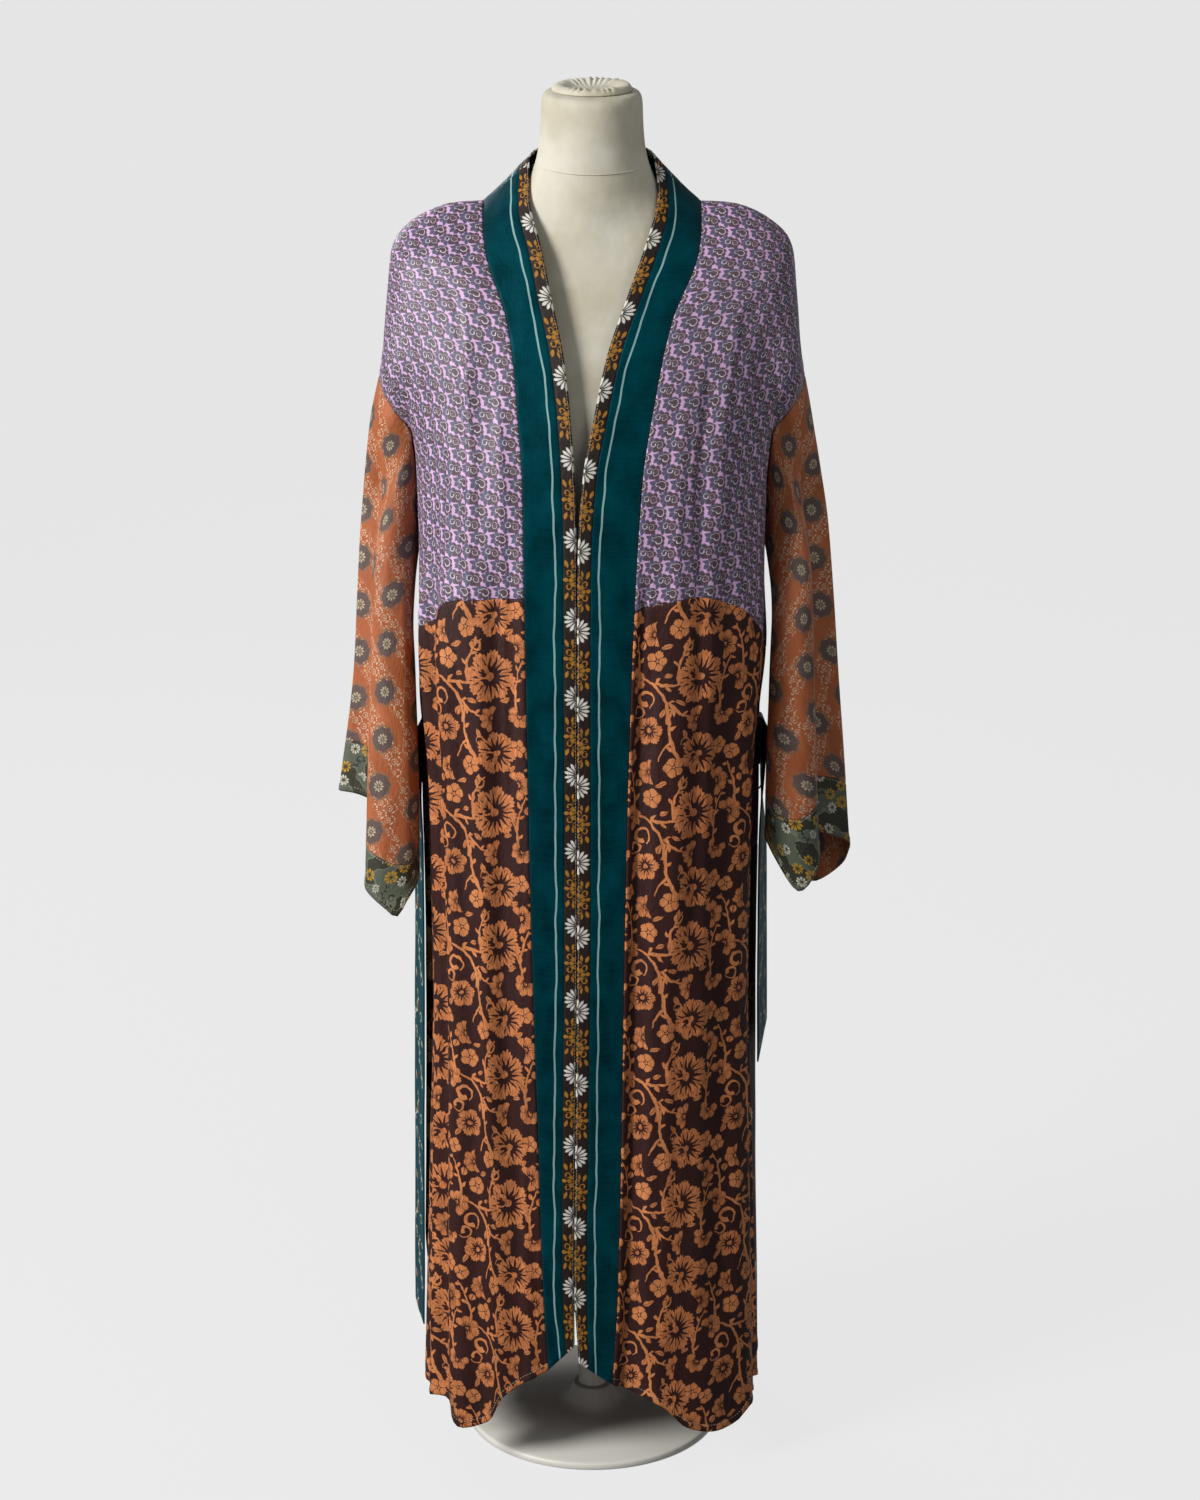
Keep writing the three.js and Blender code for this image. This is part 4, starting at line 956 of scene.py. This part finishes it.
# Dark brown silk, block printed with large cream flowers on mustard stems
cream, tree = printed("printed cream flower silk")
border = Print(tree, 170, 188, unsteady=1.2)
heads = border.flowers(
    (55, 60, 38, 10, 8, 0.34, 180),
    (135, 150, 33, 60, 7, 0.36, 180),
    (122, 36, 21, 30, 6, 0.3, 180),
    (38, 140, 19, 200, 7, 0.3, 110),
    (95, 112, 16, 80, 6, 0.3, 180),
    spikes=2, gap=0.6,
)
hearts = border.flowers(
    (55, 60, 11, 10, 9, 0, 180), (135, 150, 10, 60, 9, 0, 180), (122, 36, 6, 30, 7, 0, 180),
    spikes=1, gap=0,
)
vines = border.any(
    border.branch(88, 60, 80, 90, 130, 4.5, pitch=17, leaf=14),
    border.branch(40, 130, 120, -60, 120, 4, pitch=15, leaf=13),
    border.branch(150, 95, 70, 60, 90, 4, pitch=15, leaf=12),
    border.branch(80, 165, 10, 70, 90, 4, pitch=15, leaf=12),
    border.curls((90, 90, 14, 40, 5, 1), (12, 108, 12, 200, 4.4, -1), (160, 70, 10, 100, 4, 1)),
)
cream_ink = border.ink("E2D3B0", ("BFA579", border.uneven(0, 1, 2.2, 9)))
border.finish(border.ink("3B2420", ("A9803A", vines), (cream_ink, heads), ("B5822F", hearts)), wear=0.18)
shoulder_columns = cells(90)
back_columns = [
    *(mix(-1, -NECK_SHARE, t) for t in shoulder_columns),
    *(mix(-NECK_SHARE, NECK_SHARE, t) for t in cells(330)[1:-1]),
    *(mix(NECK_SHARE, 1, t) for t in shoulder_columns),
]
back_upper = cloth("back_crimson", back_columns, cells(700, 1.2), back_point, False, anchor=1, hand=-1)
worn(back_upper, "back_upper", crimson)
back_lower = cloth(
    "back_cream", back_columns, [1 + t for t in cells(600)], back_point, False,
    down=("seam", "hem"), hand=-1,
)
worn(back_lower, "back_lower", cream)
sewn("hem_stitches_back", back_lower.name, "bottom", 7.5)

# ---------------------------------------------------------------------------------------
# Front band: doubled teal satin sewn to the fronts and round the back of the neck, with a
# narrow dark printed edging along its free edge. Both are pieced in three lengths.
EDGING_WIDTH = 13.5
EDGING_SHIFT = {"left": 0, "right": 18}  # the two sides were cut from the print at different heights
NECK_FREE = {"half": 63, "depth": 62, "z": NECK_SEAM_TOP + 38, "rise": 13}


def band_point(side, row, w):
    """row as on the front, w from the seam with the front (0) to the free edge (1)."""
    sign = -1 if side == "left" else 1
    seam = front_point(side, 0, row)
    band = BAND[side]
    free = Vector((sign * band("free", seam.z), band("y", seam.z), seam.z + band("lift", seam.z)))
    return seam.lerp(free, w)


def neck_band_point(k, w):
    """k runs from the left shoulder (-1) round the neck to the right (1)."""
    turn = k * math.pi / 2
    seam = Vector((SHOULDER_HALF * math.sin(turn), NECK_SEAM_DEPTH * math.cos(turn), NECK_SEAM_TOP))
    free = Vector((
        NECK_FREE["half"] * math.sin(turn),
        NECK_FREE["depth"] * math.cos(turn) - 1,
        NECK_FREE["z"] + NECK_FREE["rise"] * (1 - (1 - math.cos(turn)) ** 3),
    ))
    return seam.lerp(free, w)


def edging_start(point, *at):
    """Where the edging starts across the band here, as a share of the band's width."""
    return 1 - EDGING_WIDTH / (point(*at, 1) - point(*at, 0)).length


# Teal silk satin, piece dyed, a little mottled by washing, with one pale thread stripe woven
# near the edging. The broken gloss of its long floating threads across the band is painted sheen: thin
# lighter streaks in its colour.
STRIPE = {"from_edging": 8.5, "width": 1.9, "wander": 1.3}
teal, tree = material("teal satin", Specular_IOR_Level=0.5, Specular_Tint=linear("1F8C9C"))
satin_dye = Print(tree, 100, 100, unsteady=0.0)
across = add(tree, "ABSOLUTE", add(tree, "SeparateXYZ", satin_dye.flat))
bends = [side * STRIPE["wander"] - STRIPE["from_edging"] for side in (1, -1)]
wander = satin_dye.uneven(*bends, 400, 70)
off_stripe = add(tree, "ABSOLUTE", add(tree, "ADD", across, wander))
stripe = satin_dye.inside(off_stripe, STRIPE["width"] / 2, 0.4)
mottle = satin_dye.uneven(0, 1, 26, 34, 4.0)
# painted sheen: thin lighter teal streaks across the band stand in for the satin's broken gloss
painted_sheen_streaks = satin_dye.uneven(0, 1, 30, 1.6, 1.0)
satin_dye.finish(
    satin_dye.ink(
        # the lighter teal 004C56 is painted sheen, laid on in thin streaks across the band
        "00373F", ("00232A", mottle), ("004C56", add(tree, "MULTIPLY", painted_sheen_streaks, 0.16)), ("86A6A6", stripe)
    ),
    wear=0.14, roughness=(0.38, 0.55), relief=0.05,
)

# Dark cotton edging, screen printed in white fans and mustard scrolls, one after the other
edging, tree = printed("dark printed edging")
fans = Print(tree, 40, 80, unsteady=0.3)
white = fans.flowers((13.8, 22, 13.4, 0, 15, 0.1, 180), spikes=1, gap=0.55, point=1.6)
damask = fans.any(
    fans.flowers((13.8, 62, 8.5, 0, 8, 0.45, 180), spikes=2, gap=0.3),
    fans.curls(
        (5.6, 69, 3.6, 60, 1.6, 1), (5.6, 55, 3.6, 300, 1.6, -1), (11, 74.5, 3, 20, 1.4, 1),
        (11, 49.5, 3, 340, 1.4, -1),
    ),
    fans.leaves(
        (3.4, 78, 8, 110, 3.6), (3.4, 46, 8, 250, 3.6), (2.6, 62, 6, 180, 4), (9, 79.5, 7, 80, 2.6),
        (9, 44.5, 7, 280, 2.6),
        vein=0,
    ),
)
fans.finish(fans.ink("22140F", ("A36F22", damask), ("D5D2C8", white)), wear=0.1, roughness=(0.5, 0.65))
band_rows = [*upper_rows, *lower_rows[1:]]
teal_columns = steps(10)
edging_columns = steps(4)
for side in ("left", "right"):
    flip = side == "left"

    def teal_point(t, row):
        return band_point(side, row, t * edging_start(band_point, side, row))

    def edging_point(t, row):
        return band_point(side, row, mix(edging_start(band_point, side, row), 1, t))

    satin = cloth(
        f"band_{side}_satin", teal_columns, band_rows, teal_point, flip,
        down=("seam", "hem"), from_last=True,
        relief=lambda place: crumple(place, 1.7),
    )
    worn(satin, f"band_{side}", teal)
    trim = cloth(
        f"edging_{side}_print", edging_columns, band_rows, edging_point, flip,
        across=("seam", "fold"), down=("seam", "hem"), offset=EDGING_SHIFT[side],
    )
    worn(trim, f"edging_{side}", edging)
    sewn(f"edging_stitches_{side}", trim.name, "last", 1.6, 3.2, (2.6, 0.5))
    sewn(f"band_stitches_{side}", satin.name, "first", 1.4, 3.6, (1.6, 0.5), dark_thread)

neck_columns = [mix(-1, 1, t) for t in cells(290)]
neck_satin = cloth(
    "band_neck_satin", neck_columns, steps(10),
    lambda k, t: neck_band_point(k, t * edging_start(neck_band_point, k)), True,
    sideways=True, anchor=1,
)
worn(neck_satin, "band_neck", teal)
neck_trim = cloth(
    "edging_neck_print", neck_columns, steps(4),
    lambda k, t: neck_band_point(k, mix(edging_start(neck_band_point, k), 1, t)), True,
    down=("seam", "fold"), sideways=True,
)
worn(neck_trim, "edging_neck", edging)

# ---------------------------------------------------------------------------------------
# Sleeves: straight tubes of rust printed silk set into the dropped armholes, each folded
# lengthwise by its own weight, with a deep cuff of grey-green flowered silk at the end.
SLEEVE_OUTLINE = Table(
    "a out ahead",
    (0, 1, -0.42),
    (0.03, 1, -0.25),
    (0.067, 0.5, -0.17),
    (0.115, -0.1, -0.03),
    (0.217, 0, 0.5),
    (0.277, -0.04, 0.83),
    (0.338, -0.4, 1),
    (0.395, -0.79, 0.95),
    (0.456, -0.98, 0.67),
    (0.562, -0.93, 0.08),
    (0.714, -0.82, -0.75),
    (0.783, -0.5, -1),
    (0.874, 0, -0.95),
    (0.944, 0.85, -0.72),
    (1, 1, -0.42),
)
SLEEVE = Table(
    "z inner lobe left right ahead behind",
    (1163, 188, 202, 217, 217, 30, 30),
    (1118, 186, 212, 227, 226, 48, 43),
    (1014, 185, 222, 239, 243, 62, 47),
    (844, 181, 230, 251, 258, 75, 49),
    (745, 179, 234, 265, 267, 78, 50),
    (600, 181, 240, 284, 279, 80, 52),
)
SLEEVE_HOLD = 0.36  # the share of the sleeve over which the armhole holds it
SLEEVE_CREASE = {"top": 1150, "over": 120}  # where the sleeve folds flat below the shoulder
ARMHOLE_EASE = 1.5
SLEEVE_END = {
    "left": Table(
        "a seam edge",
        (0, 778, 724),
        (0.067, 776, 721),
        (0.115, 764, 712),
        (0.217, 696, 641),
        (0.277, 682, 636),
        (0.338, 670, 618),
        (0.365, 665, 609),
        (0.395, 664, 626),
        (0.456, 682, 646),
        (0.562, 720, 668),
        (0.714, 746, 693),
        (0.874, 770, 716),
        (1, 778, 724),
    ),
    "right": Table(
        "a seam edge",
        (0, 724, 656),
        (0.067, 738, 674),
        (0.115, 742, 683),
        (0.217, 736, 676),
        (0.277, 728, 662),
        (0.338, 714, 637),
        (0.395, 718, 668),
        (0.456, 738, 690),
        (0.562, 742, 690),
        (0.714, 716, 662),
        (0.783, 690, 630),
        (0.874, 668, 606),
        (0.944, 694, 634),
        (1, 724, 656),
    ),
}


def sleeve_point(side, round_from_underarm, b):
    """b runs from the armhole (0) to the cuff seam (1) and the cuff's edge (2)."""
    sign = -1 if side == "left" else 1
    a = (round_from_underarm + 0.5) % 1
    e = 2 * a if a <= 0.5 else 2 * (1 - a)
    start = [ARMHOLE["front" if a <= 0.5 else "back"](column, e) for column in "xyz"]
    start[0] += ARMHOLE_EASE * smooth((e - 0.3) / 0.2)
    seam, edge = SLEEVE_END[side]("seam", a), SLEEVE_END[side]("edge", a)

    def tube(z):
        inner, outer, lobe = SLEEVE("inner", z), SLEEVE(side, z), SLEEVE("lobe", z)
        ahead, behind = SLEEVE("ahead", z), SLEEVE("behind", z)
        crease = smooth((SLEEVE_CREASE["top"] - z) / SLEEVE_CREASE["over"])
        out = mix(math.cos(2 * math.pi * a), SLEEVE_OUTLINE("out", a), crease)
        front = mix(math.sin(2 * math.pi * a), SLEEVE_OUTLINE("ahead", a), crease)
        across = lobe + out * (lobe - inner if out < 0 else outer - lobe)
        return across, (behind - ahead - front * (ahead + behind)) / 2

    z = mix(start[2], seam, b) if b < 1 else mix(seam, edge, b - 1)
    hold = (1 - clamp(b / SLEEVE_HOLD)) ** 2
    x, y = (here + hold * (held - first) for here, held, first in zip(tube(z), start, tube(start[2])))
    return Vector((sign * x, y, z))


# Rust silk, screen printed with grey brown medallions and trails of tiny white sprigs
rust, tree = printed("printed rust silk")
medals = Print(tree, 47, 50, drop=25, unsteady=0.3)
petals = medals.flowers((23, 25, 14.2, 10, 8, 0.3, 180), spikes=1, gap=0.25, eye=0)
rays = medals.flowers((23, 25, 6.2, 0, 9, 0.2, 180), spikes=1, gap=0.4, point=2)
outline = medals.less(medals.disc(23, 25, 15.4), medals.disc(23, 25, 14.0))
tiny = Print(tree, 11, 12.5, drop=6.2, unsteady=0.5)
dots = tiny.flowers((5, 6, 3.6, 0, 9, 0.72, 180), spikes=0.1, gap=0.35, eye=0.25)
leaflets = tiny.leaves(
    (9.4, 2.4, 4, 40, 1.9), (1.4, 1.2, 3.6, 110, 1.7), (9.8, 10, 3.8, 150, 1.8), (2, 11, 2.6, 20, 1.5),
    vein=0,
)
slope = add(tree, "VectorMath", medals.at, (math.tau / 47, math.tau / 60, 0), operation="DOT_PRODUCT")
trails = medals.both(tiny.any(dots, leaflets), medals.inside(add(tree, "SINE", slope), 0.25, 0.5))
medals.finish(
    medals.ink(
        "B4663E", ("A2542C", add(tree, "MULTIPLY", medals.uneven(0, 1, 14, 30), 0.6)), ("D3B79B", trails),
        ("8A6A50", outline), ("594540", medals.disc(23, 25, 12.4)), ("665550", petals), ("BFAF93", rays),
    ),
    wear=0.16,
)

# Grey green silk, screen printed with yellow daisies, white flowers and dark scrolling lines
green, tree = printed("printed grey green silk")
daisies = Print(tree, 62, 58, drop=29, unsteady=0.5)
yellow = daisies.flowers(
    (12, 14, 7.5, 0, 9, 0.2, 180), (25, 24, 6.5, 30, 9, 0.2, 180), (10, 32, 6, 10, 8, 0.2, 180),
    (48, 44, 7, 50, 9, 0.2, 180),
    spikes=1, gap=0.45, point=1.2,
)
pale = daisies.flowers(
    (25, 9, 6, 20, 9, 0.25, 180), (45, 14, 5.5, 50, 8, 0.25, 110), (34, 44, 6, 0, 9, 0.25, 180),
    (58, 30, 5, 0, 8, 0.25, 180),
    spikes=1, gap=0.4, point=1.2,
)
centres = ((12, 14), (25, 24), (10, 32), (48, 44), (25, 9), (34, 44))
middles = daisies.any(*(daisies.disc(x, y, 1.5) for x, y in centres))
field = daisies.uneven(-8, 8, 26, 26, 1.0)
dark_field = daisies.inside(field, 0.0, 0.6)
edge_line = daisies.inside(add(tree, "ABSOLUTE", field), 0.7, 0.4)
scroll = daisies.any(
    daisies.branch(40, 28, 35, 14, 40, 1.1, pitch=4, leaf=3.8),
    daisies.branch(6, 48, 110, -12, 34, 1.1, pitch=4, leaf=3.8),
    daisies.curls((40, 33, 4.5, 90, 1.6, 1), (16, 50, 4.5, 200, 1.6, -1), (56, 8, 4.5, 0, 1.5, 1)),
)
daisies.finish(
    daisies.ink(
        "5C6252", ("3A3A2E", dark_field), ("737866", edge_line), ("2A2B25", scroll), ("C9C6B6", pale),
        ("BC8F2A", yellow), ("4A3A22", middles),
    ),
    wear=0.15,
)
sleeve_columns = cells(340)
for side in ("left", "right"):
    flip = side == "left"
    sleeve = cloth(
        f"sleeve_{side}_rust", sleeve_columns, cells(410), lambda a, b: sleeve_point(side, a, b),
        flip, across=("fold", "fold"), around=True, anchor=1,
    )
    worn(sleeve, f"sleeve_{side}", rust)
    cuff = cloth(
        f"cuff_{side}_green", sleeve_columns, [1 + t for t in cells(56)],
        lambda a, b: sleeve_point(side, a, b), flip,
        across=("fold", "fold"), around=True, down=("seam", "hem"),
    )
    worn(cuff, f"cuff_{side}", green)
    cuff.data.materials.append(rust)  # a facing of the sleeve's silk lines it
    cuff.modifiers["wall"].material_offset = 1
    sewn(f"cuff_stitches_{side}", cuff.name, "top", 2.0)
    sewn(f"cuff_hem_stitches_{side}", cuff.name, "bottom", 6.0)

# ---------------------------------------------------------------------------------------
# Sash: a double strip of teal printed silk pressed flat. It crosses the back and its two ends
# hang at the sides, each held up by a loop of thread sewn into the side seam.
SASH = {"cloth": 1.6, "width": 58, "middle": 761, "reach": 0.768, "clearance": 7}
SASH_PLAN = Table(
    "z frontX frontY backX backY",
    (800, 185, 10, 181, 67),
    (730, 184, 10, 184, 67),
    (650, 182, 13, 193, 69),
    (540, 183, 14, 195, 70),
    (90, 190, 14, 202, 70),
)
SASH_END = {
    "left": {"bottom": 96, "slant": 6, "tuck": 0},
    "right": {"bottom": 410, "slant": 30, "tuck": 4},
}
sash_top = SASH["middle"] + SASH["width"] / 2


def sash_back_point(at, t):
    z = sash_top - t * SASH["width"]
    half, depth = BODY("halfBack", z) + SASH["clearance"], BODY("behind", z) + SASH["clearance"]
    x, y = superellipse(half, depth, body_square(z), at * SASH["reach"] * math.pi / 2)
    return Vector((x, y, z))


# Teal silk, block printed with cream flourishes and small brown leaves
sash_silk, tree = material("printed teal silk", Specular_IOR_Level=0.4, Specular_Tint=linear("1F8C9C"))
flourish = Print(tree, 62, 120, unsteady=0.6)
cream_lines = flourish.any(
    flourish.branch(26, 46, 70, 40, 56, 2.2, pitch=9, leaf=8),
    flourish.branch(40, 100, 120, -34, 48, 2.0, pitch=8, leaf=7),
    flourish.curls((44, 70, 8, 30, 2.6, 1), (18, 96, 7, 210, 2.4, -1), (10, 20, 7, 100, 2.2, 1)),
    flourish.leaves((46, 18, 13, 60, 5), (12, 66, 11, 20, 4.4)),
)
brown_bits = flourish.any(
    flourish.leaves((30, 24, 12, 120, 6)), flourish.flowers((34, 104, 8, 0, 5, 0.3, 180), spikes=1)
)
flourish.finish(
    flourish.ink("003C46", ("5D3A26", brown_bits), ("B4B99F", cream_lines)),
    wear=0.14, roughness=(0.34, 0.5),
)

# Dark mercerised cotton, two strands twisted
thread = material("twisted cotton thread", Roughness=0.8, Base_Color=linear("3A3F45"))[0]
# How far out from the side seam and how high each point of a belt loop lies
LOOP = [(2.6, 800), (10, 803), (16, 796), (18, 761), (16, 727), (10, 720), (2.6, 723)]
sash_columns = [mix(-1, 1, t) for t in cells(400)]
sash_wall = {"thickness": SASH["cloth"], "across": ("fold", "fold"), "down": ("fold", "fold")}
sash_back = cloth("sash_back_print", sash_columns, cells(58), sash_back_point, False, **sash_wall)
worn(sash_back, "sash_back", sash_silk)
for side in ("left", "right"):
    sign = -1 if side == "left" else 1
    end = SASH_END[side]

    def hanging(t, down):
        z = mix(sash_top, end["bottom"] + end["slant"] * t, down)
        tuck = end["tuck"] * smooth((sash_top - z) / SASH["width"] / 2)
        x = mix(SASH_PLAN("frontX", z), SASH_PLAN("backX", z), t) - tuck
        return Vector((sign * x, mix(SASH_PLAN("frontY", z), SASH_PLAN("backY", z), t), z))

    length = sash_top - end["bottom"]
    strip = cloth(
        f"sash_{side}_print", cells(60), cells(length), hanging, side == "right",
        **sash_wall,
    )
    worn(strip, f"sash_{side}", sash_silk)

    loop = bpy.data.curves.new(f"belt_thread_{side}", "CURVE")
    loop.dimensions = "3D"
    loop.bevel_depth = 0.8 * MM
    loop.bevel_resolution = 2
    spline = loop.splines.new("NURBS")
    spline.points.add(len(LOOP) - 1)
    for place, (out, z) in zip(spline.points, LOOP):
        place.co = (sign * (SIDE_SEAM("x", z) + out) * MM, 5 * MM, z * MM, 1)
    spline.use_endpoint_u = True
    spline.order_u = 4
    tie = placed(f"belt_thread_{side}", loop)
    worn(tie, f"belt_loop_{side}", thread)

# ---------------------------------------------------------------------------------------
# Dress form: a padded torso covered in ivory jersey, with the jersey gathered into a round
# recess at the top of the neck, on a painted steel pole and base plate.
# Cotton jersey, knitted fine and washed: matt, with a little unevenness and a few dark specks
jersey, tree = material("ivory cotton jersey", Roughness=0.9, Specular_IOR_Level=0.25, Sheen_Weight=0.1)
WALE = 1.3  # coarser than the real knit, so that it shows
FORM_RADIUS = 60  # the rows of loops are spaced for a body this round
place = add(tree, "TexCoord").node.outputs["Object"]
clouds = add(tree, "TexNoise", place, {"Scale": 22.0, "Detail": 3.0})
clouds = add(tree, "MapRange", clouds, {"From Min": 0.35, "From Max": 0.65, "To Min": 0.0, "To Max": 1.0})
speck = add(tree, "TexVoronoi", place, {"Scale": 55.0})
ivory = add(
    tree, "Mix", {"Factor": clouds, "A": linear("CFCABA"), "B": linear("BDB6A0")}, data_type="RGBA"
)
dark_speck = add(tree, "MULTIPLY", add(tree, "LESS_THAN", speck, 0.035), 0.3)
ivory = add(tree, "Mix", {"Factor": dark_speck, "A": ivory, "B": linear("6E6250")}, data_type="RGBA")
turn = add(tree, "SeparateXYZ", place)
round_form = add(tree, "MULTIPLY", add(tree, "ARCTAN2", turn.node.outputs["Y"], turn), FORM_RADIUS / WALE)
knit = add(tree, "SINE", add(tree, "MULTIPLY", round_form, math.tau))
rows_of_knit = add(tree, "SINE", add(tree, "MULTIPLY", turn.node.outputs["Z"], math.tau / (WALE * MM)))
loops = add(
    tree, "MULTIPLY_ADD", add(tree, "MULTIPLY", knit, rows_of_knit), 0.3,
    add(tree, "MULTIPLY", clouds, 6.0),
)
bump = add(tree, "Bump", {"Height": loops, "Strength": 0.6, "Distance": 0.2 * MM})
finish_with(tree, Base_Color=ivory, Normal=bump)

skin = bmesh.new()
skin.from_mesh(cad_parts["form_body"].data)
bmesh.ops.remove_doubles(skin, verts=skin.verts, dist=0.01 * MM)
bmesh.ops.join_triangles(
    skin, faces=skin.faces, angle_face_threshold=math.radians(30), angle_shape_threshold=3.1
)


def finished(name, mesh, node, colour, levels=0):
    """A piece of the form or its stand, from a mesh in metres."""
    piece = meshed(name, mesh)
    if levels:
        soft = piece.modifiers.new("soft", "SUBSURF")
        soft.levels = soft.render_levels = levels
    worn(piece, node, colour)


def turned(profile, count):
    """A bmesh turned round the upright axis from a profile of radius and height in mm."""
    made = bmesh.new()
    points = [made.verts.new((radius * MM, 0, z * MM)) for radius, z in profile]
    line = [made.edges.new(pair) for pair in zip(points, points[1:])]
    bmesh.ops.spin(
        made, geom=points + line, cent=(0, 0, 0), axis=(0, 0, 1),
        angle=math.tau, steps=count, use_merge=True,
    )
    bmesh.ops.remove_doubles(made, verts=made.verts, dist=0.01 * MM)
    bmesh.ops.recalc_face_normals(made, faces=made.faces)
    return made


finished("form_jersey", skin, "form_body", jersey, levels=2)

# The cover's end is drawn up on a cord: a raised ring of uneven gathers round a shallow dip. The
# ring's profile is its radius, as a share of its half width, and its height over the neck.
NECK_TOP, NECK_TILT = 1447.3, 0.15
GATHERS = {"width": 40, "depth": 34, "pleats": 30, "deep": 1.5}
RING = [
    (0, 0.2), (1, 0.2), (1, 1.4), (0.98, 3.2), (0.94, 4.8), (0.88, 5.8), (0.8, 5.9), (0.72, 5.0),
    (0.64, 3.4), (0.56, 2.0), (0.46, 1.2), (0.32, 0.9), (0.16, 0.9), (0, 0.9),
]
gathered = turned([(GATHERS["width"] * r, NECK_TOP + z) for r, z in RING], GATHERS["pleats"] * 8)
for v in gathered.verts:
    turn = math.atan2(v.co.y, v.co.x)
    reach = math.hypot(v.co.x, v.co.y) / (GATHERS["width"] * MM)
    lifted = v.co.z / MM > NECK_TOP + 1
    wander = noise.noise(Vector((math.cos(turn) * 2.4, math.sin(turn) * 2.4, reach * 0.5)))
    pleat = math.cos(GATHERS["pleats"] * turn + 7 * wander) * GATHERS["deep"] * clamp(0.6 + 1.4 * wander)
    fold = pleat * smooth((reach - 0.4) / 0.3) * smooth((1.02 - reach) / 0.2) if lifted else 0
    v.co.y *= GATHERS["depth"] / GATHERS["width"]
    v.co.z += (fold + NECK_TILT * v.co.y / MM) * MM
finished("neck_gathers", gathered, "neck_cap", jersey)

# A seam joins the neck's cover to the body's, lower at the front
NECK_SEAM = {"z": 1377, "tilt": 9, "thick": 0.5, "points": 96}
NECK_FORM = Table(
    "z half ahead behind",
    (1335, 94, 52, 56), (1350, 71, 51, 54), (1368, 59, 51, 53), (1395, 52, 50, 52), (1430, 51, 50, 51),
)
ring = bpy.data.curves.new("neck_seam", "CURVE")
ring.dimensions = "3D"
ring.bevel_depth = NECK_SEAM["thick"] * MM
ring.bevel_resolution = 1
spline = ring.splines.new("POLY")
spline.points.add(NECK_SEAM["points"] - 1)
for i, point in enumerate(spline.points):
    turn = math.tau * i / NECK_SEAM["points"]
    z = NECK_SEAM["z"] - NECK_SEAM["tilt"] * math.cos(turn)
    depth = NECK_FORM("ahead" if math.cos(turn) > 0 else "behind", z)
    x, y = superellipse(NECK_FORM("half", z), depth, 2, turn)
    point.co = (x * MM, -y * MM, z * MM, 1)
spline.use_cyclic_u = True
neck_seam = placed("neck_seam", ring)
neck_seam.data.materials.append(jersey)
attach(neck_seam, "root")

# Steel, powder coated: a fine orange peel softens its highlights
steel, tree = material("powder coated steel", Roughness=0.42, Base_Color=linear("DCD8CE"))
peel = add(
    tree, "TexNoise", add(tree, "TexCoord").node.outputs["Object"], {"Scale": 700.0, "Detail": 2.0}
)
finish_with(tree, Normal=add(tree, "Bump", {"Height": peel, "Strength": 0.3, "Distance": 0.1 * MM}))
# Radius and height of each turned part of the stand
STAND = {
    "pole_collar": [(0, 741.6), (32, 741.6), (34, 739.6), (30, 727), (27.4, 725.7), (0, 725.7)],
    "pole": [(0, 725.4), (16, 725.4), (16, 34.3), (0, 34.3)],
    "base_plate": [
        (0, 34), (21, 34), (22, 33), (27, 17), (33, 11.5), (40, 9.9), (136, 8.1), (139, 7), (140, 5),
        (140, 0), (0, 0),
    ],
}
for node, profile in STAND.items():
    made = turned(profile, 96)
    met = [edge for edge in made.edges if len(edge.link_faces) == 2]
    sharp = [edge for edge in met if edge.calc_face_angle() > math.radians(40)]
    bmesh.ops.bevel(
        made, geom=sharp, offset=0.8 * MM, affect="EDGES", segments=2, profile=0.5, material=-1
    )
    finished(f"{node}_turned", made, node, steel)
